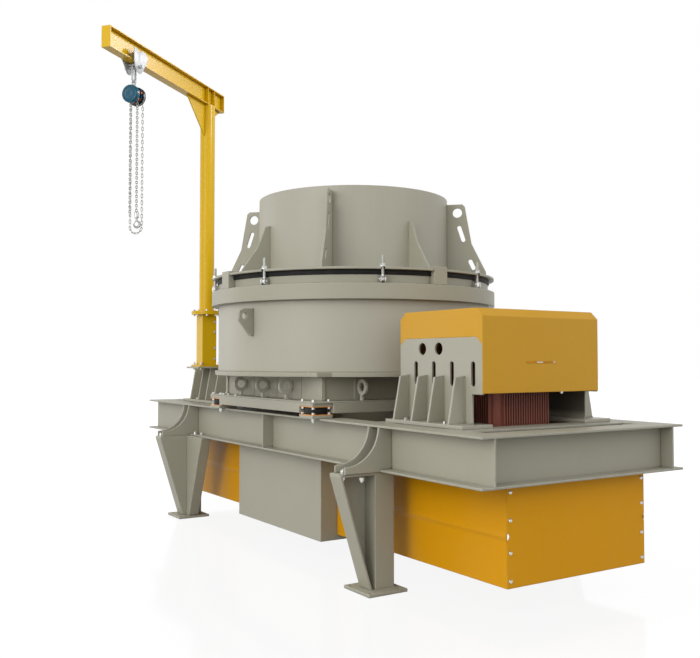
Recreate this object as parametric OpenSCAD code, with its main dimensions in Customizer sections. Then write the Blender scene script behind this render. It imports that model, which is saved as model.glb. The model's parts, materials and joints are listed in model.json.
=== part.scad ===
/* [Base frame] */
// Length of the base frame over its flanges
frame_len = 5346; // [5100:2:5600]
// Width of the base frame over its flanges
frame_wid = 1768; // [1740:2:1800]
// Height of the base beams
beam_h = 300; // [260:2:340]
// Width of the beam flanges
flange_w = 200; // [180:2:220]
// Thickness of the beam flanges
flange_t = 14; // [10:1:18]
// Thickness of the beam webs
web_t = 10; // [8:1:14]
// Underside of the base beams above the floor
leg_h = 780; // [700:5:900]
// Thickness of the stiffener at the middle of each side beam
stiff_t = 12; // [8:1:16]
// Distance from the end of the frame to the outer cross beam
cross_gap = 433; // [413:1:438]
// Distance between the two cross beams of an end
cross_span = 785; // [775:1:800]

/* [Legs] */
// Distance from the end of the frame to the centre of a leg
leg_in = 1071; // [1051:1:1093]
// Distance from the outer edge of the frame in to the centre of a leg
leg_side = 17; // [10:1:24]
// Thickness of the leg plates
leg_t = 14; // [10:1:18]
// Width of the leg column
col_w = 131; // [120:1:150]
// Side of the square foot plate
foot_w = 300; // [280:2:340]
// Thickness of the foot plate
foot_t = 20; // [15:1:25]
// Radius of the anchor bolt holes
foot_hole_r = 12; // [8:0.5:15]
// Distance from the edge of the foot plate to a hole
foot_hole_in = 35; // [30:1:45]
// Thickness of the plate on top of a leg
leg_top_t = 20; // [15:1:25]
// Reach of the leg's outer arm from the centre of the leg
arm_out = 313; // [283:1:333]
// Reach of the leg's inner arm from the centre of the leg
arm_in = 412; // [382:1:442]
// Radius of the curved bracket above each leg
bracket_r = 250; // [230:2:260]
// Thickness of the curved bracket plates
bracket_t = 14; // [10:1:18]

/* [Chute and belt guards] */
// Length of the discharge chute
chute_len = 1416; // [1300:4:1440]
// Width of the discharge chute
chute_wid = 1504; // [1480:4:1560]
// Underside of the chute above the floor
chute_z = 140; // [100:5:200]
// Thickness of the chute walls
chute_t = 8; // [6:1:12]
// Width of the belt guards
guard_wid = 1212; // [1150:4:1260]
// Underside of the belt guards above the floor
guard_z = 180; // [150:5:250]
// Distance from the end of the frame in to the end of a belt guard
guard_in = 105; // [73:1:133]
// Thickness of the guard sheets
guard_t = 5; // [4:0.5:8]
// Depth of the bead pressed along each guard side
bead_d = 8; // [5:1:12]

/* [Rubber mounts and sub frame] */
// How far the sub frame's end rails stand out beyond the chamber
rail_out_x = 110; // [100:1:125]
// How far the sub frame's side rails stand out beyond the chamber
rail_out_y = 125; // [115:1:135]
// Size of the square rail section
rail_w = 75; // [65:1:85]
// Length of a rubber mount along the frame
iso_x = 196; // [180:2:210]
// Length of a rubber mount across the frame
iso_y = 171; // [165:1:180]
// Thickness of the plates below and above a rubber mount
iso_plate_t = 24; // [20:1:28]
// Thickness of the coloured shim plates
shim_t = 5; // [4:0.5:8]
// Height of the rubber block
rubber_h = 54; // [40:1:60]
// Thickness of the plate on top of the rails
deck_t = 12; // [8:1:16]

/* [Lower chamber and drum] */
// Distance from the outer edge of the frame in to the chamber wall
chamber_in = 64; // [54:1:74]
// Height of the lower chamber
chamber_h = 179; // [150:1:220]
// Thickness of the chamber walls
chamber_t = 16; // [10:1:20]
// How far the square drum plate stands out beyond the chamber
plate_lip = 85; // [70:1:95]
// How far the round part of the drum plate stands out beyond the shell
plate_out = 24; // [14:1:34]
// Thickness of the drum plate
drum_plate_t = 32; // [20:1:40]
// Outside radius of the drum shell
shell_r = 1166; // [1150:2:1176]
// Thickness of the drum shell
shell_t = 20; // [12:1:26]
// Height of the drum shell below the band
shell_h = 546; // [480:2:600]
// How far the band stands out beyond the shell
band_out = 56; // [48:1:62]
// Height of the band
band_h = 118; // [100:2:140]
// Height of the ring above the band
ring_h = 66; // [50:2:80]
// How far the rubber seal stands out beyond the shell
seal_out = 12; // [6:1:16]
// Height of the rubber seal
seal_h = 38; // [30:1:50]
// How far the hopper plate stands out beyond the shell
lid_out = 51; // [46:1:55]
// Thickness of the hopper plate
lid_t = 17; // [12:1:25]

/* [Hopper] */
// How far the hopper wall stands in from the outside of the shell
hopper_in = 345; // [326:1:386]
// Thickness of the hopper wall
hopper_t = 16; // [10:1:20]
// Height of the hopper above its plate
hopper_h = 683; // [650:1:800]
// Height of the four lifting gussets
lift_h = 640; // [630:1:646]
// Height of the four plain gussets
rib_h = 417; // [380:1:450]
// Thickness of the gussets
rib_t = 16; // [10:1:20]
// Radius of the lifting holes
lift_hole_r = 40; // [30:1:48]
// Radius of the feed tube
feed_r = 260; // [220:2:300]
// Width of the four guide blocks
guide_w = 120; // [90:2:130]
// Radius of the swing bolts
swing_r = 12; // [10:0.5:15]
// Distance from the shell to the swing bolts
swing_out = 31; // [29:0.5:34]

/* [Motor end] */
// Distance from the end of the frame to the centre of a cradle's foot
cradle_in = 828; // [820:1:838]
// Length of a cradle's foot plate
cradle_len = 810; // [790:2:840]
// Outer edge of a cradle's foot plate from the middle of the frame
cradle_y = 670; // [664:1:678]
// Thickness of a cradle's foot plate
cradle_t = 25; // [18:1:30]
// Half of the width of the motor hood
hood_half = 521; // [510:1:530]
// Thickness of the cradle side plates
side_t = 16; // [12:1:20]
// Length of the hood and of the side plates under it
hood_len = 860; // [850:1:874]
// Distance from the end of the frame in to the hood
hood_gap = 399; // [390:1:406]
// Height of the side plates' top edge above the floor
side_top = 1654; // [1620:2:1680]
// Height of the hood's top above the floor
hood_top = 1838; // [1800:2:1880]
// Height of the hood's lower edge above the floor
hood_low = 1300; // [1280:2:1320]
// Thickness of the hood sheet
hood_t = 5; // [4:0.5:8]
// Size of the chamfers on the hood's ends
hood_cut = 52; // [40:1:60]
// Height of the gussets beside a cradle above its foot
gusset_h = 305; // [280:1:330]
// Thickness of those gussets
gusset_t = 15; // [10:1:20]
// Half of the motor's size across its fins
motor_half = 276; // [250:1:290]
// Height of the motor above its base plate
motor_h = 880; // [800:2:940]
// Number of fins on each side of the motor
fin_n = 15; // [9:2:19]

/* [Service crane] */
// Distance from the end of the frame in to the crane post
post_in = 883; // [873:1:893]
// Distance of the crane post beside the rotor axis
post_y = 610; // [600:1:620]
// Height of the pedestal top above the floor
pedestal_z = 1440; // [1420:1:1460]
// Side of the square lower column
column_w = 150; // [130:2:160]
// Height of the slewing joint above the floor
slew_z = 1983; // [1950:1:2020]
// Radius of the slewing flanges
slew_flange_r = 150; // [130:1:160]
// Outside radius of the upper post
post_r = 74; // [65:1:80]
// Underside of the boom above the floor
boom_z = 4100; // [4000:5:4200]
// Height of the boom
boom_h = 180; // [160:2:200]
// Width of the boom flanges
boom_w = 86; // [80:2:100]
// Reach of the boom in front of the post
boom_reach = 1760; // [1700:5:1800]
// Length of the boom behind the post
boom_back = 270; // [240:5:320]
// Direction of the boom at rest in degrees
boom_az = -51.5; // [-60:0.5:-45]
// Distance of the trolley from the post at rest
trolley_r = 1350; // [900:5:1500]
// Distance of the hoist centre below the boom
hoist_drop = 285; // [270:1:320]
// Radius of the hoist cover
hoist_r = 78; // [70:1:85]
// Length of the hanging load chain
load_chain_l = 1020; // [800:5:1040]
// Length of the hand chain loop
hand_chain_l = 1145; // [1000:5:1150]

/* [Hidden] */
$fn = 96;
steel = [0.62, 0.62, 0.56];
yellow = [0.82, 0.63, 0.12];
silver = [0.80, 0.80, 0.78];
// Gap between faces that slide or turn on each other
run = 0.3;
// Places along the frame, each from its end
cross_out = frame_len / 2 - cross_gap;
cross_in = cross_out - cross_span;
leg_x = frame_len / 2 - leg_in;
leg_y = frame_wid / 2 - leg_side;
arm_y = leg_y + arm_out;
arm_x = leg_x - arm_in;
guard_end = frame_len / 2 - guard_in;
cradle_x = frame_len / 2 - cradle_in;
hood_out = frame_len / 2 - hood_gap;
hood_in = hood_out - hood_len;
post_x = frame_len / 2 - post_in;
// Places across the frame, each from its outer edge
chamber_w = frame_wid - 2 * chamber_in;
sub_x = chamber_w / 2 + rail_out_x;
sub_y = chamber_w / 2 + rail_out_y;
drum_plate_w = chamber_w + 2 * plate_lip;
// Radii of the drum and what sits on it, each from the shell
drum_plate_r = shell_r + plate_out;
band_r = shell_r + band_out;
seal_r = shell_r + seal_out;
lid_r = shell_r + lid_out;
hopper_r = shell_r - hopper_in;
swing_at = shell_r + swing_out;
// Heights of the stack, each from the one below
beam_top = leg_h + beam_h;
beam_y = frame_wid / 2 - flange_w / 2;
end_x = frame_len / 2 - flange_w / 2;
iso_top = beam_top + 2 * iso_plate_t + 2 * shim_t + rubber_h;
rail_z = iso_top - rail_w;
deck_z = iso_top + deck_t;
plate_z = deck_z + chamber_h;
shell_z = plate_z + drum_plate_t;
band_z = shell_z + shell_h;
ring_z = band_z + band_h;
seal_z = ring_z + ring_h;
lid_z = seal_z + seal_h;
lid_top = lid_z + lid_t;
ring_in = shell_r - shell_t;
// Thickness of the pads under the end eyes
pad_t = 6;
// Heights and edges at the motor end
cradle_top = beam_top + cradle_t;
side_y = hood_half;
slot_w = 40;
slot_l = 120;
slot_z = side_top - 294;
slot_x = [for (d = [-252, -58, 130, 338]) cradle_x + d];
gusset_x = [for (d = [-334, -133, 43, 252]) cradle_x + d];
// Crane values
column_flange_t = 20;
column_flange_w = 230;
slew_t = 18;
boom_tf = 9;
boom_tw = 6;
wheel_r = 30;
bar_r = 13;
bar_drop = 40;
sheave_r = 28;
chain_r = 7;
plate_gap = 6;

module ibeam(len, h = beam_h, w = flange_w, tf = flange_t, tw = web_t) {
    translate([-len / 2, -w / 2, 0]) cube([len, w, tf]);
    translate([-len / 2, -w / 2, h - tf]) cube([len, w, tf]);
    translate([-len / 2, -tw / 2, tf]) cube([len, tw, h - 2 * tf]);
}

// Side beam with its end gussets and middle stiffeners, drawn for the near side
module side_beam() {
    translate([0, -beam_y, leg_h]) {
        ibeam(frame_len);
        for (s = [-1, 1])
            translate([-stiff_t / 2, s > 0 ? web_t / 2 : -flange_w / 2, flange_t])
                cube([stiff_t, (flange_w - web_t) / 2, beam_h - 2 * flange_t]);
    }
}

// Beam across the frame, coped round the flanges of the side beams
module cross_beam() {
    half_web = beam_y - web_t / 2;
    half_fl = beam_y - flange_w / 2;
    translate([0, 0, leg_h]) {
        for (z = [0, beam_h - flange_t])
            translate([-flange_w / 2, -half_fl, z]) cube([flange_w, 2 * half_fl, flange_t]);
        translate([-web_t / 2, -half_web, flange_t])
            cube([web_t, 2 * half_web, beam_h - 2 * flange_t]);
    }
}

module side_beam_near() { color(steel) side_beam(); }
module side_beam_far() { color(steel) mirror([0, 1, 0]) side_beam(); }
module end_beam_drive() { color(steel) translate([end_x, 0, 0]) cross_beam(); }
module end_beam_crane() { color(steel) translate([-end_x, 0, 0]) cross_beam(); }
module cross_beams() {
    color(steel) for (x = [cross_in, cross_out], s = [-1, 1]) translate([s * x, 0, 0]) cross_beam();
}

// One plate of the curved bracket, from the web outward, drawn in Y and Z
module bracket_plate() {
    web_y = beam_y + web_t / 2;
    lip = frame_wid / 2;
    ctr_y = lip + bracket_r + 10;
    ctr_z = beam_h - flange_t + 10;
    foot_z = leg_top_t;
    rotate([90, 0, 90]) linear_extrude(bracket_t) {
        difference() {
            union() {
                translate([lip, -foot_z + leg_top_t]) square([arm_y - lip - 25, beam_h - flange_t]);
                translate([web_y, flange_t]) square([lip - web_y, beam_h - 2 * flange_t]);
            }
            translate([ctr_y, ctr_z]) circle(bracket_r);
            translate([ctr_y, ctr_z - bracket_r + 40]) square([400, 400]);
            translate([lip + 10, ctr_z]) square([400, 400]);
        }
    }
}

module brackets() {
    color(steel) for (sx = [-1, 1], sy = [-1, 1]) scale_pair(sx, sy)
        translate([0, 0, leg_h]) {
            translate([leg_x - col_w / 2 + 15, 0, 0]) bracket_plate();
            translate([leg_x + col_w / 2, 0, 0]) bracket_plate();
        }
}

// Mirrors a child drawn in the +X +Y quarter into the quarter given by the signs
module scale_pair(sx, sy) {
    mirror([sx < 0 ? 1 : 0, 0, 0]) mirror([0, sy < 0 ? 1 : 0, 0]) children();
}

// A leg, drawn in the +X +Y quarter with its outer arm along Y and its inner arm toward the middle
module leg() {
    z0 = foot_t;
    z1 = leg_h - leg_top_t;
    x0 = leg_x - col_w / 2;
    x1 = leg_x + col_w / 2;
    ya = beam_y - 20;
    yb = frame_wid / 2 + 29;
    // Foot plate with its anchor holes
    difference() {
        translate([leg_x - foot_w / 2, leg_y - foot_w / 2, 0]) cube([foot_w, foot_w, foot_t]);
        for (dx = [-1, 1], dy = [-1, 1])
            translate([leg_x + dx * (foot_w / 2 - foot_hole_in), leg_y + dy * (foot_w / 2 - foot_hole_in), -1])
                cylinder(h = foot_t + 2, r = foot_hole_r);
    }
    // Top plate, an L under the bracket and the beam
    translate([x0, ya - 70, z1]) cube([col_w, arm_y - ya + 70, leg_top_t]);
    translate([arm_x, ya, z1]) cube([x0 - arm_x, yb - ya, leg_top_t]);
    // Column of three plates
    translate([x1 - leg_t, ya, z0]) cube([leg_t, yb - ya, z1 - z0]);
    translate([x0, yb - leg_t, z0]) cube([col_w - leg_t, leg_t, z1 - z0]);
    translate([x0, ya, z0]) cube([leg_t, yb - leg_t - ya, z1 - z0]);
    // Outer arm, a web with an inclined flange
    translate([x0, 0, 0]) rotate([90, 0, 90]) linear_extrude(leg_t)
        polygon([[yb, z0], [yb + 37 - leg_t, z0], [arm_y - leg_t, z1], [yb, z1]]);
    translate([x0, 0, 0]) rotate([90, 0, 90]) linear_extrude(col_w)
        polygon([[yb + 37 - leg_t, z0], [yb + 37, z0], [arm_y, z1], [arm_y - leg_t, z1]]);
    // Inner arm, a web with an inclined flange
    translate([0, yb, 0]) rotate([90, 0, 0]) linear_extrude(leg_t)
        polygon([[x0, z0], [x0 - 60 + leg_t, z0], [arm_x + leg_t, z1], [x0, z1]]);
    translate([0, yb, 0]) rotate([90, 0, 0]) linear_extrude(95)
        polygon([[x0 - 60 + leg_t, z0], [x0 - 60, z0], [arm_x, z1], [arm_x + leg_t, z1]]);
}

module leg_near_drive() { color(steel) scale_pair(1, -1) leg(); }
module leg_near_crane() { color(steel) scale_pair(-1, -1) leg(); }
module leg_far_drive() { color(steel) scale_pair(1, 1) leg(); }
module leg_far_crane() { color(steel) scale_pair(-1, 1) leg(); }

module chute() {
    color(steel) translate([0, 0, chute_z]) difference() {
        translate([-chute_len / 2, -chute_wid / 2, 0]) cube([chute_len, chute_wid, leg_h - chute_z]);
        translate([-chute_len / 2 + chute_t, -chute_wid / 2 + chute_t, -1])
            cube([chute_len - 2 * chute_t, chute_wid - 2 * chute_t, leg_h - chute_z + 2]);
    }
}

// One belt guard, two side sheets with a bead, open below and above
module belt_guard() {
    x0 = chute_len / 2;
    mid = (leg_h + guard_z) / 2;
    for (s = [-1, 1]) mirror([0, s > 0 ? 1 : 0, 0]) {
        translate([x0, -guard_wid / 2, guard_z]) cube([guard_end - x0, guard_t, leg_h - guard_z]);
        translate([x0, -guard_wid / 2, mid]) rotate([90, 0, 90]) linear_extrude(guard_end - x0)
            polygon([[0, -28], [-bead_d, 0], [0, 28]]);
        translate([x0, -guard_wid / 2 + guard_t, leg_h - guard_t])
            cube([guard_end - x0, 40, guard_t]);
    }
}

module guard_end() {
    difference() {
        translate([guard_end, -guard_wid / 2, guard_z]) cube([guard_t, guard_wid, leg_h - guard_z]);
        for (s = [-1, 1]) translate([guard_end - 1, s * guard_wid / 2, (leg_h + guard_z) / 2])
            rotate([0, 90, 0]) cylinder(h = guard_t + 2, r = 20);
    }
}

module belt_guard_drive() { color(yellow) belt_guard(); }
module belt_guard_crane() { color(yellow) mirror([1, 0, 0]) belt_guard(); }
module guard_end_drive() { color(yellow) guard_end(); }
module guard_end_crane() { color(yellow) mirror([1, 0, 0]) guard_end(); }

// Places a child at the four rubber mounts, from its outer corner inward
module at_mounts() {
    for (sx = [-1, 1], sy = [-1, 1]) scale_pair(sx, sy)
        translate([sub_x - 17 - iso_x, sub_y - iso_y, 0]) children();
}

module mount_plates() {
    color(steel) at_mounts() {
        translate([0, 0, beam_top]) cube([iso_x, iso_y, iso_plate_t]);
        translate([0, 0, iso_top - iso_plate_t]) cube([iso_x, iso_y, iso_plate_t]);
    }
}
module mount_shims() {
    color([0.85, 0.5, 0.1]) at_mounts() {
        translate([0, 0, beam_top + iso_plate_t]) cube([iso_x, iso_y, shim_t]);
        translate([0, 0, iso_top - iso_plate_t - shim_t]) cube([iso_x, iso_y, shim_t]);
    }
}
module mount_rubbers() {
    color([0.05, 0.05, 0.05]) at_mounts()
        translate([12, 12, beam_top + iso_plate_t + shim_t]) cube([iso_x - 24, iso_y - 24, rubber_h]);
}

// Four rails between the rubber mounts
module sub_frame() {
    color(steel) for (s = [-1, 1]) {
        translate([-(sub_x - 17 - iso_x), s > 0 ? sub_y - rail_w : -sub_y, rail_z])
            cube([2 * (sub_x - 17 - iso_x), rail_w, rail_w]);
        translate([s > 0 ? sub_x - rail_w : -sub_x, -(sub_y - iso_y), rail_z])
            cube([rail_w, 2 * (sub_y - iso_y), rail_w]);
    }
}

module sub_deck() {
    hole = chamber_w / 2 - 200;
    color(steel) difference() {
        translate([-sub_x + 5, -sub_y + 5, iso_top]) cube([2 * sub_x - 10, 2 * sub_y - 10, deck_t]);
        translate([-hole, -hole, iso_top - 1]) cube([2 * hole, 2 * hole, deck_t + 2]);
    }
}

// Square chamber with corner posts and panel ribs
module chamber() {
    h = chamber_h;
    w = chamber_w / 2;
    color(steel) translate([0, 0, deck_z]) {
        difference() {
            translate([-w, -w, 0]) cube([2 * w, 2 * w, h]);
            translate([-w + chamber_t, -w + chamber_t, -1])
                cube([2 * w - 2 * chamber_t, 2 * w - 2 * chamber_t, h + 2]);
            for (s = [-1, 1], x = [-275, 130, 530])
                translate([x - 3, s > 0 ? w - 5 : -w - 1, -1]) cube([6, 6, h + 2]);
        }
        for (a = [0:90:270]) rotate(a) translate([w, w, 0]) translate([-30, 0, 0]) cube([30, 14, h]);
        for (s = [-1, 1]) translate([s > 0 ? w : -w - pad_t, -528, 0]) cube([pad_t, 85, h]);
    }
}

// Eye lug, a ring on a narrow foot, standing out from the chamber wall
module eye(t = 20) {
    rotate([90, 0, 0]) translate([0, 0, -t / 2]) linear_extrude(t) difference() {
        union() {
            translate([62, 100]) circle(62);
            translate([40, 0]) square([26, 60]);
            translate([0, 85]) square([30, 30]);
        }
        translate([62, 100]) circle(34);
    }
}
module chamber_eyes() {
    w = chamber_w / 2;
    color(steel) translate([0, 0, deck_z]) {
        for (s = [-1, 1], x = [-420, -10, 388])
            translate([x, s * w, 0]) rotate(90 * s) eye();
        for (s = [-1, 1]) translate([s * (w + pad_t), -493, 0]) rotate(s > 0 ? 0 : 180) eye();
    }
}

module drum_plate() {
    color(steel) translate([0, 0, plate_z]) difference() {
        union() {
            cylinder(h = drum_plate_t, r = drum_plate_r);
            translate([-drum_plate_w / 2, -drum_plate_w / 2, 0]) cube([drum_plate_w, drum_plate_w, drum_plate_t]);
        }
        translate([0, 0, -1]) cylinder(h = drum_plate_t + 2, r = chamber_w / 2 - 40);
    }
}
module tube_ring(z, h, ro, ri) {
    translate([0, 0, z]) difference() {
        cylinder(h = h, r = ro);
        translate([0, 0, -1]) cylinder(h = h + 2, r = ri);
    }
}
module drum_shell() { color(steel) tube_ring(shell_z, shell_h + band_h, shell_r, ring_in); }
module drum_band() { color(steel) tube_ring(band_z, band_h, band_r, shell_r); }
module top_ring() { color(steel) tube_ring(ring_z, ring_h, shell_r, ring_in); }
module lid_seal() { color([0.06, 0.06, 0.06]) tube_ring(seal_z, seal_h, seal_r, ring_in); }

module drum_lugs() {
    color(steel) for (a = [-75, 45, 165]) rotate(a) translate([shell_r, 0, band_z - 264])
        rotate([90, 0, 0]) translate([0, 0, -10]) linear_extrude(20) difference() {
            polygon([[-2, 0], [34, 0], [146, 120], [142, 188], [96, 207], [-2, 212]]);
            translate([92, 150]) circle(26);
            translate([-100, -10]) square([100, 240]);
        }
}

module hopper_plate() {
    color(steel) difference() {
        tube_ring(lid_z, lid_t, lid_r, hopper_r - hopper_t);
        for (a = [22.5:45:359]) rotate(a) translate([swing_at, 0, lid_z - 1]) {
            cylinder(h = lid_t + 2, r = swing_r + 3);
            translate([0, -swing_r - 3, 0]) cube([60, 2 * swing_r + 6, lid_t + 2]);
        }
        for (a = [0:90:270]) rotate(a)
            translate([seal_r - 2, -guide_w / 2 - 3, lid_z - 1]) cube([60, guide_w + 6, lid_t + 2]);
    }
}
module hopper() { color(steel) tube_ring(lid_top, hopper_h, hopper_r, hopper_r - hopper_t); }

// Slot between two points, with round ends of short straight steps
module flat_slot(a, b, r) {
    way = atan2(b[1] - a[1], b[0] - a[0]);
    polygon(concat([for (t = [-90:15:90]) b + r * [cos(way + t), sin(way + t)]],
        [for (t = [90:15:270]) a + r * [cos(way + t), sin(way + t)]]));
}
// Lifting gusset in R and Z above the hopper plate
module lift_gusset() {
    r0 = hopper_r;
    rotate([90, 0, 0]) translate([0, 0, -rib_t / 2]) linear_extrude(rib_t) difference() {
        polygon([[r0, 0], [r0 + 339, 0], [r0 + 330, 60], [r0 + 212, 300], [r0 + 156, lift_h - 20],
            [r0 + 136, lift_h], [r0, lift_h]]);
        translate([r0 + 93, lift_h - 73]) circle(lift_hole_r);
        flat_slot([r0 + 108, lift_h - 200], [r0 + 143, lift_h - 306], 17);
        flat_slot([r0 + 202, 148], [r0 + 228, 92], 17);
    }
}
module plain_gusset() {
    r0 = hopper_r;
    rotate([90, 0, 0]) translate([0, 0, -rib_t / 2]) linear_extrude(rib_t)
        polygon([[r0, 0], [r0 + 264, 0], [r0 + 254, 40], [r0 + 114, 230], [r0 + 44, rib_h - 12], [r0, rib_h]]);
}
module hopper_gussets() {
    color(steel) translate([0, 0, lid_top]) {
        for (a = [45:90:315]) rotate(a) lift_gusset();
        for (a = [0:90:270]) rotate(a) plain_gusset();
    }
}

// Funnel hung inside the hopper, with a tube that feeds the rotor
module feed_funnel() {
    r0 = hopper_r - hopper_t - 1;
    color(steel) rotate_extrude() polygon([[r0, lid_top + 60], [r0, lid_top + 75], [r0 - 20, lid_top + 75],
        [feed_r, lid_top - 130], [feed_r, lid_top - 300], [feed_r - 15, lid_top - 300], [feed_r - 15, lid_top - 121],
        [r0 - 30, lid_top + 90], [r0 + 1, lid_top + 90], [r0 + 1, lid_top + 60]]);
}

// Swing bolt with its eye, clevis and nut
module swing_bolt() {
    translate([swing_at, 0, ring_z + 30]) {
        cylinder(h = 180, r = swing_r);
        rotate([90, 0, 0]) cylinder(h = 18, r = 22, center = true);
    }
    for (s = [-1, 1]) translate([shell_r, s * 16 - 5, ring_z]) cube([50, 10, 56]);
    translate([swing_at, 0, ring_z + 30]) rotate([90, 0, 0]) cylinder(h = 54, r = 9, center = true);
    translate([swing_at, 0, lid_top]) {
        cylinder(h = 5, r = 28);
        translate([0, 0, 5]) cylinder(h = 24, r = 21, $fn = 6);
    }
}
module swing_bolts() { color(silver) for (a = [22.5:45:359]) rotate(a) swing_bolt(); }

module guide_blocks() {
    color(steel) for (a = [0:90:270]) rotate(a) difference() {
        translate([shell_r - 20, -guide_w / 2, ring_z]) cube([band_r - shell_r + 20, guide_w, lid_top - ring_z + 16]);
        translate([0, 0, ring_z - 1]) cylinder(h = ring_h + 1, r = shell_r);
        translate([0, 0, seal_z - 1]) cylinder(h = 200, r = seal_r + run);
    }
}

// Cradle at one end of the frame, drawn for the near drive side
module cradle_foot() {
    translate([cradle_x - cradle_len / 2, -cradle_y, beam_top]) cube([cradle_len, cradle_y - 420, cradle_t]);
}
module cradle_gussets(top, flat) {
    for (x = gusset_x) translate([x - gusset_t / 2, 0, cradle_top])
        rotate([90, 0, 90]) linear_extrude(gusset_t)
            polygon([[-cradle_y + 15, 0], [-side_y, 0], [-side_y, top], [-side_y - 76, flat ? top : top - 12]]);
}
// Outline of a tall side plate in X and Z
module side_outline() {
    x0 = hood_in;
    x1 = hood_out - hood_t;
    step = x1 - 100;
    polygon([[x0, cradle_top], [step, cradle_top], [step, hood_low - 7], [x1, hood_low - 7],
        [x1, side_top - 48], [x1 - 55, side_top], [x0 + 57, side_top], [x0, side_top - 43]]);
}
module cradle_near_drive() {
    color(steel) {
        cradle_foot();
        cradle_gussets(gusset_h, false);
        translate([0, side_t - side_y, 0]) rotate([90, 0, 0]) linear_extrude(side_t) difference() {
            side_outline();
            for (x = [hood_in + 250, hood_in + 425]) translate([x, side_top - 71]) circle(41);
            for (x = slot_x) translate([x, 0]) {
                translate([0, slot_z]) circle(slot_w / 2);
                translate([0, slot_z + slot_l]) circle(slot_w / 2);
                translate([-slot_w / 2, slot_z]) square([slot_w, slot_l]);
            }
        }
    }
}
module cradle_far_drive() { mirror([0, 1, 0]) cradle_near_drive(); }

module cradle_near_crane() {
    top = pedestal_z - 15;
    color(steel) mirror([1, 0, 0]) {
        cradle_foot();
        cradle_gussets(top - cradle_top, true);
        translate([cradle_x - 370, -side_y, cradle_top]) cube([650, side_t, top - cradle_top]);
    }
}
module cradle_far_crane() { mirror([0, 1, 0]) cradle_near_crane(); }

module motor_base() {
    gap = cross_out - cross_in - web_t - 4;
    color(steel) translate([(cross_in + cross_out) / 2 - gap / 2, -330, leg_h + flange_t]) cube([gap, 660, cradle_t]);
}

// Finned vertical motor standing on its base between the cross beams
module motor() {
    m = motor_half;
    c = 88;
    core = m - 30;
    z0 = leg_h + flange_t + cradle_t;
    color([0.3, 0.18, 0.15]) translate([(cross_in + cross_out) / 2, 0, z0]) {
        cylinder(h = 25, r = m - 2);
        translate([0, 0, 25]) linear_extrude(motor_h - 25)
            polygon([[core, c - core], [core, core - c], [core - c, core], [c - core, core],
                [-core, core - c], [-core, c - core], [c - core, -core], [core - c, -core]]);
        for (a = [0:90:270], i = [0:fin_n - 1]) rotate(a)
            translate([core, (i - (fin_n - 1) / 2) * 2 * (core - c - 4) / (fin_n - 1) - 4, 25])
                cube([30, 8, motor_h - 60]);
    }
}

// Outline of the hood in X and Z, shrunk by the given distance
module hood_outline(d = 0) {
    x0 = hood_in + d;
    x1 = hood_out - d;
    z0 = d > 0 ? hood_low - 1 : hood_low;
    top = hood_top - d;
    polygon([[x0, z0], [x1, z0], [x1, top - hood_cut + d / 2], [x1 - 55 + d / 2, top],
        [x0 + 57 - d / 2, top], [x0, top - hood_cut + d / 2]]);
}
module motor_hood() {
    color(yellow) difference() {
        translate([0, hood_half, 0]) rotate([90, 0, 0]) linear_extrude(2 * hood_half) hood_outline();
        translate([0, hood_half - hood_t, 0]) rotate([90, 0, 0])
            linear_extrude(2 * (hood_half - hood_t)) hood_outline(hood_t);
        for (s = [-1, 1]) translate([0, s > 0 ? hood_half + 1 : side_t - hood_half, 0]) rotate([90, 0, 0])
            linear_extrude(side_t + 1) side_outline();
    }
}

module pedestal_top() {
    color(steel) translate([-post_x, -post_y, pedestal_z - 15]) translate([-150, -150, 0]) cube([300, 300, 15]);
}

module crane_column() {
    top = slew_z - slew_t;
    base = pedestal_z + column_flange_t;
    color(yellow) translate([-post_x, -post_y, 0]) {
        translate([-column_flange_w / 2, -column_flange_w / 2, pedestal_z])
            cube([column_flange_w, column_flange_w, column_flange_t]);
        difference() {
            translate([-column_w / 2, -column_w / 2, base]) cube([column_w, column_w, top - base]);
            translate([-column_w / 2 + 10, -column_w / 2 + 10, base]) cube([column_w - 20, column_w - 20, top - base]);
        }
        translate([0, 0, top]) cylinder(h = slew_t, r = slew_flange_r);
    }
}

module jib_post() {
    z0 = slew_z + run;
    color(yellow) translate([-post_x, -post_y, 0]) {
        translate([0, 0, z0]) cylinder(h = slew_t, r = slew_flange_r);
        difference() {
            translate([0, 0, z0 + slew_t]) cylinder(h = boom_z - z0 - slew_t, r = post_r);
            translate([0, 0, z0 + slew_t]) cylinder(h = boom_z - z0 - slew_t - 10, r = post_r - 8);
        }
    }
}

// Places a child along the boom, X out from the post
module on_boom() { translate([-post_x, -post_y, boom_z]) rotate(boom_az) children(); }

module jib_boom() {
    l = boom_reach + boom_back;
    color(yellow) on_boom() {
        translate([(boom_reach - boom_back) / 2, 0, 0]) ibeam(l, boom_h, boom_w, boom_tf, boom_tw);
        for (x = [boom_reach, -boom_back - 8]) translate([x, -boom_w / 2, 0]) cube([8, boom_w, boom_h]);
        for (x = [-post_r + 4, post_r - 12], s = [-1, 1])
            translate([x, s > 0 ? boom_tw / 2 : -boom_w / 2, boom_tf]) cube([8, (boom_w - boom_tw) / 2, boom_h - 2 * boom_tf]);
        translate([0, 5, 0]) rotate([90, 0, 0]) linear_extrude(10) {
            polygon([[post_r, 0], [430, 0], [post_r, -325]]);
            polygon([[-post_r, 0], [-245, 0], [-post_r, -115]]);
        }
    }
}

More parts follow.
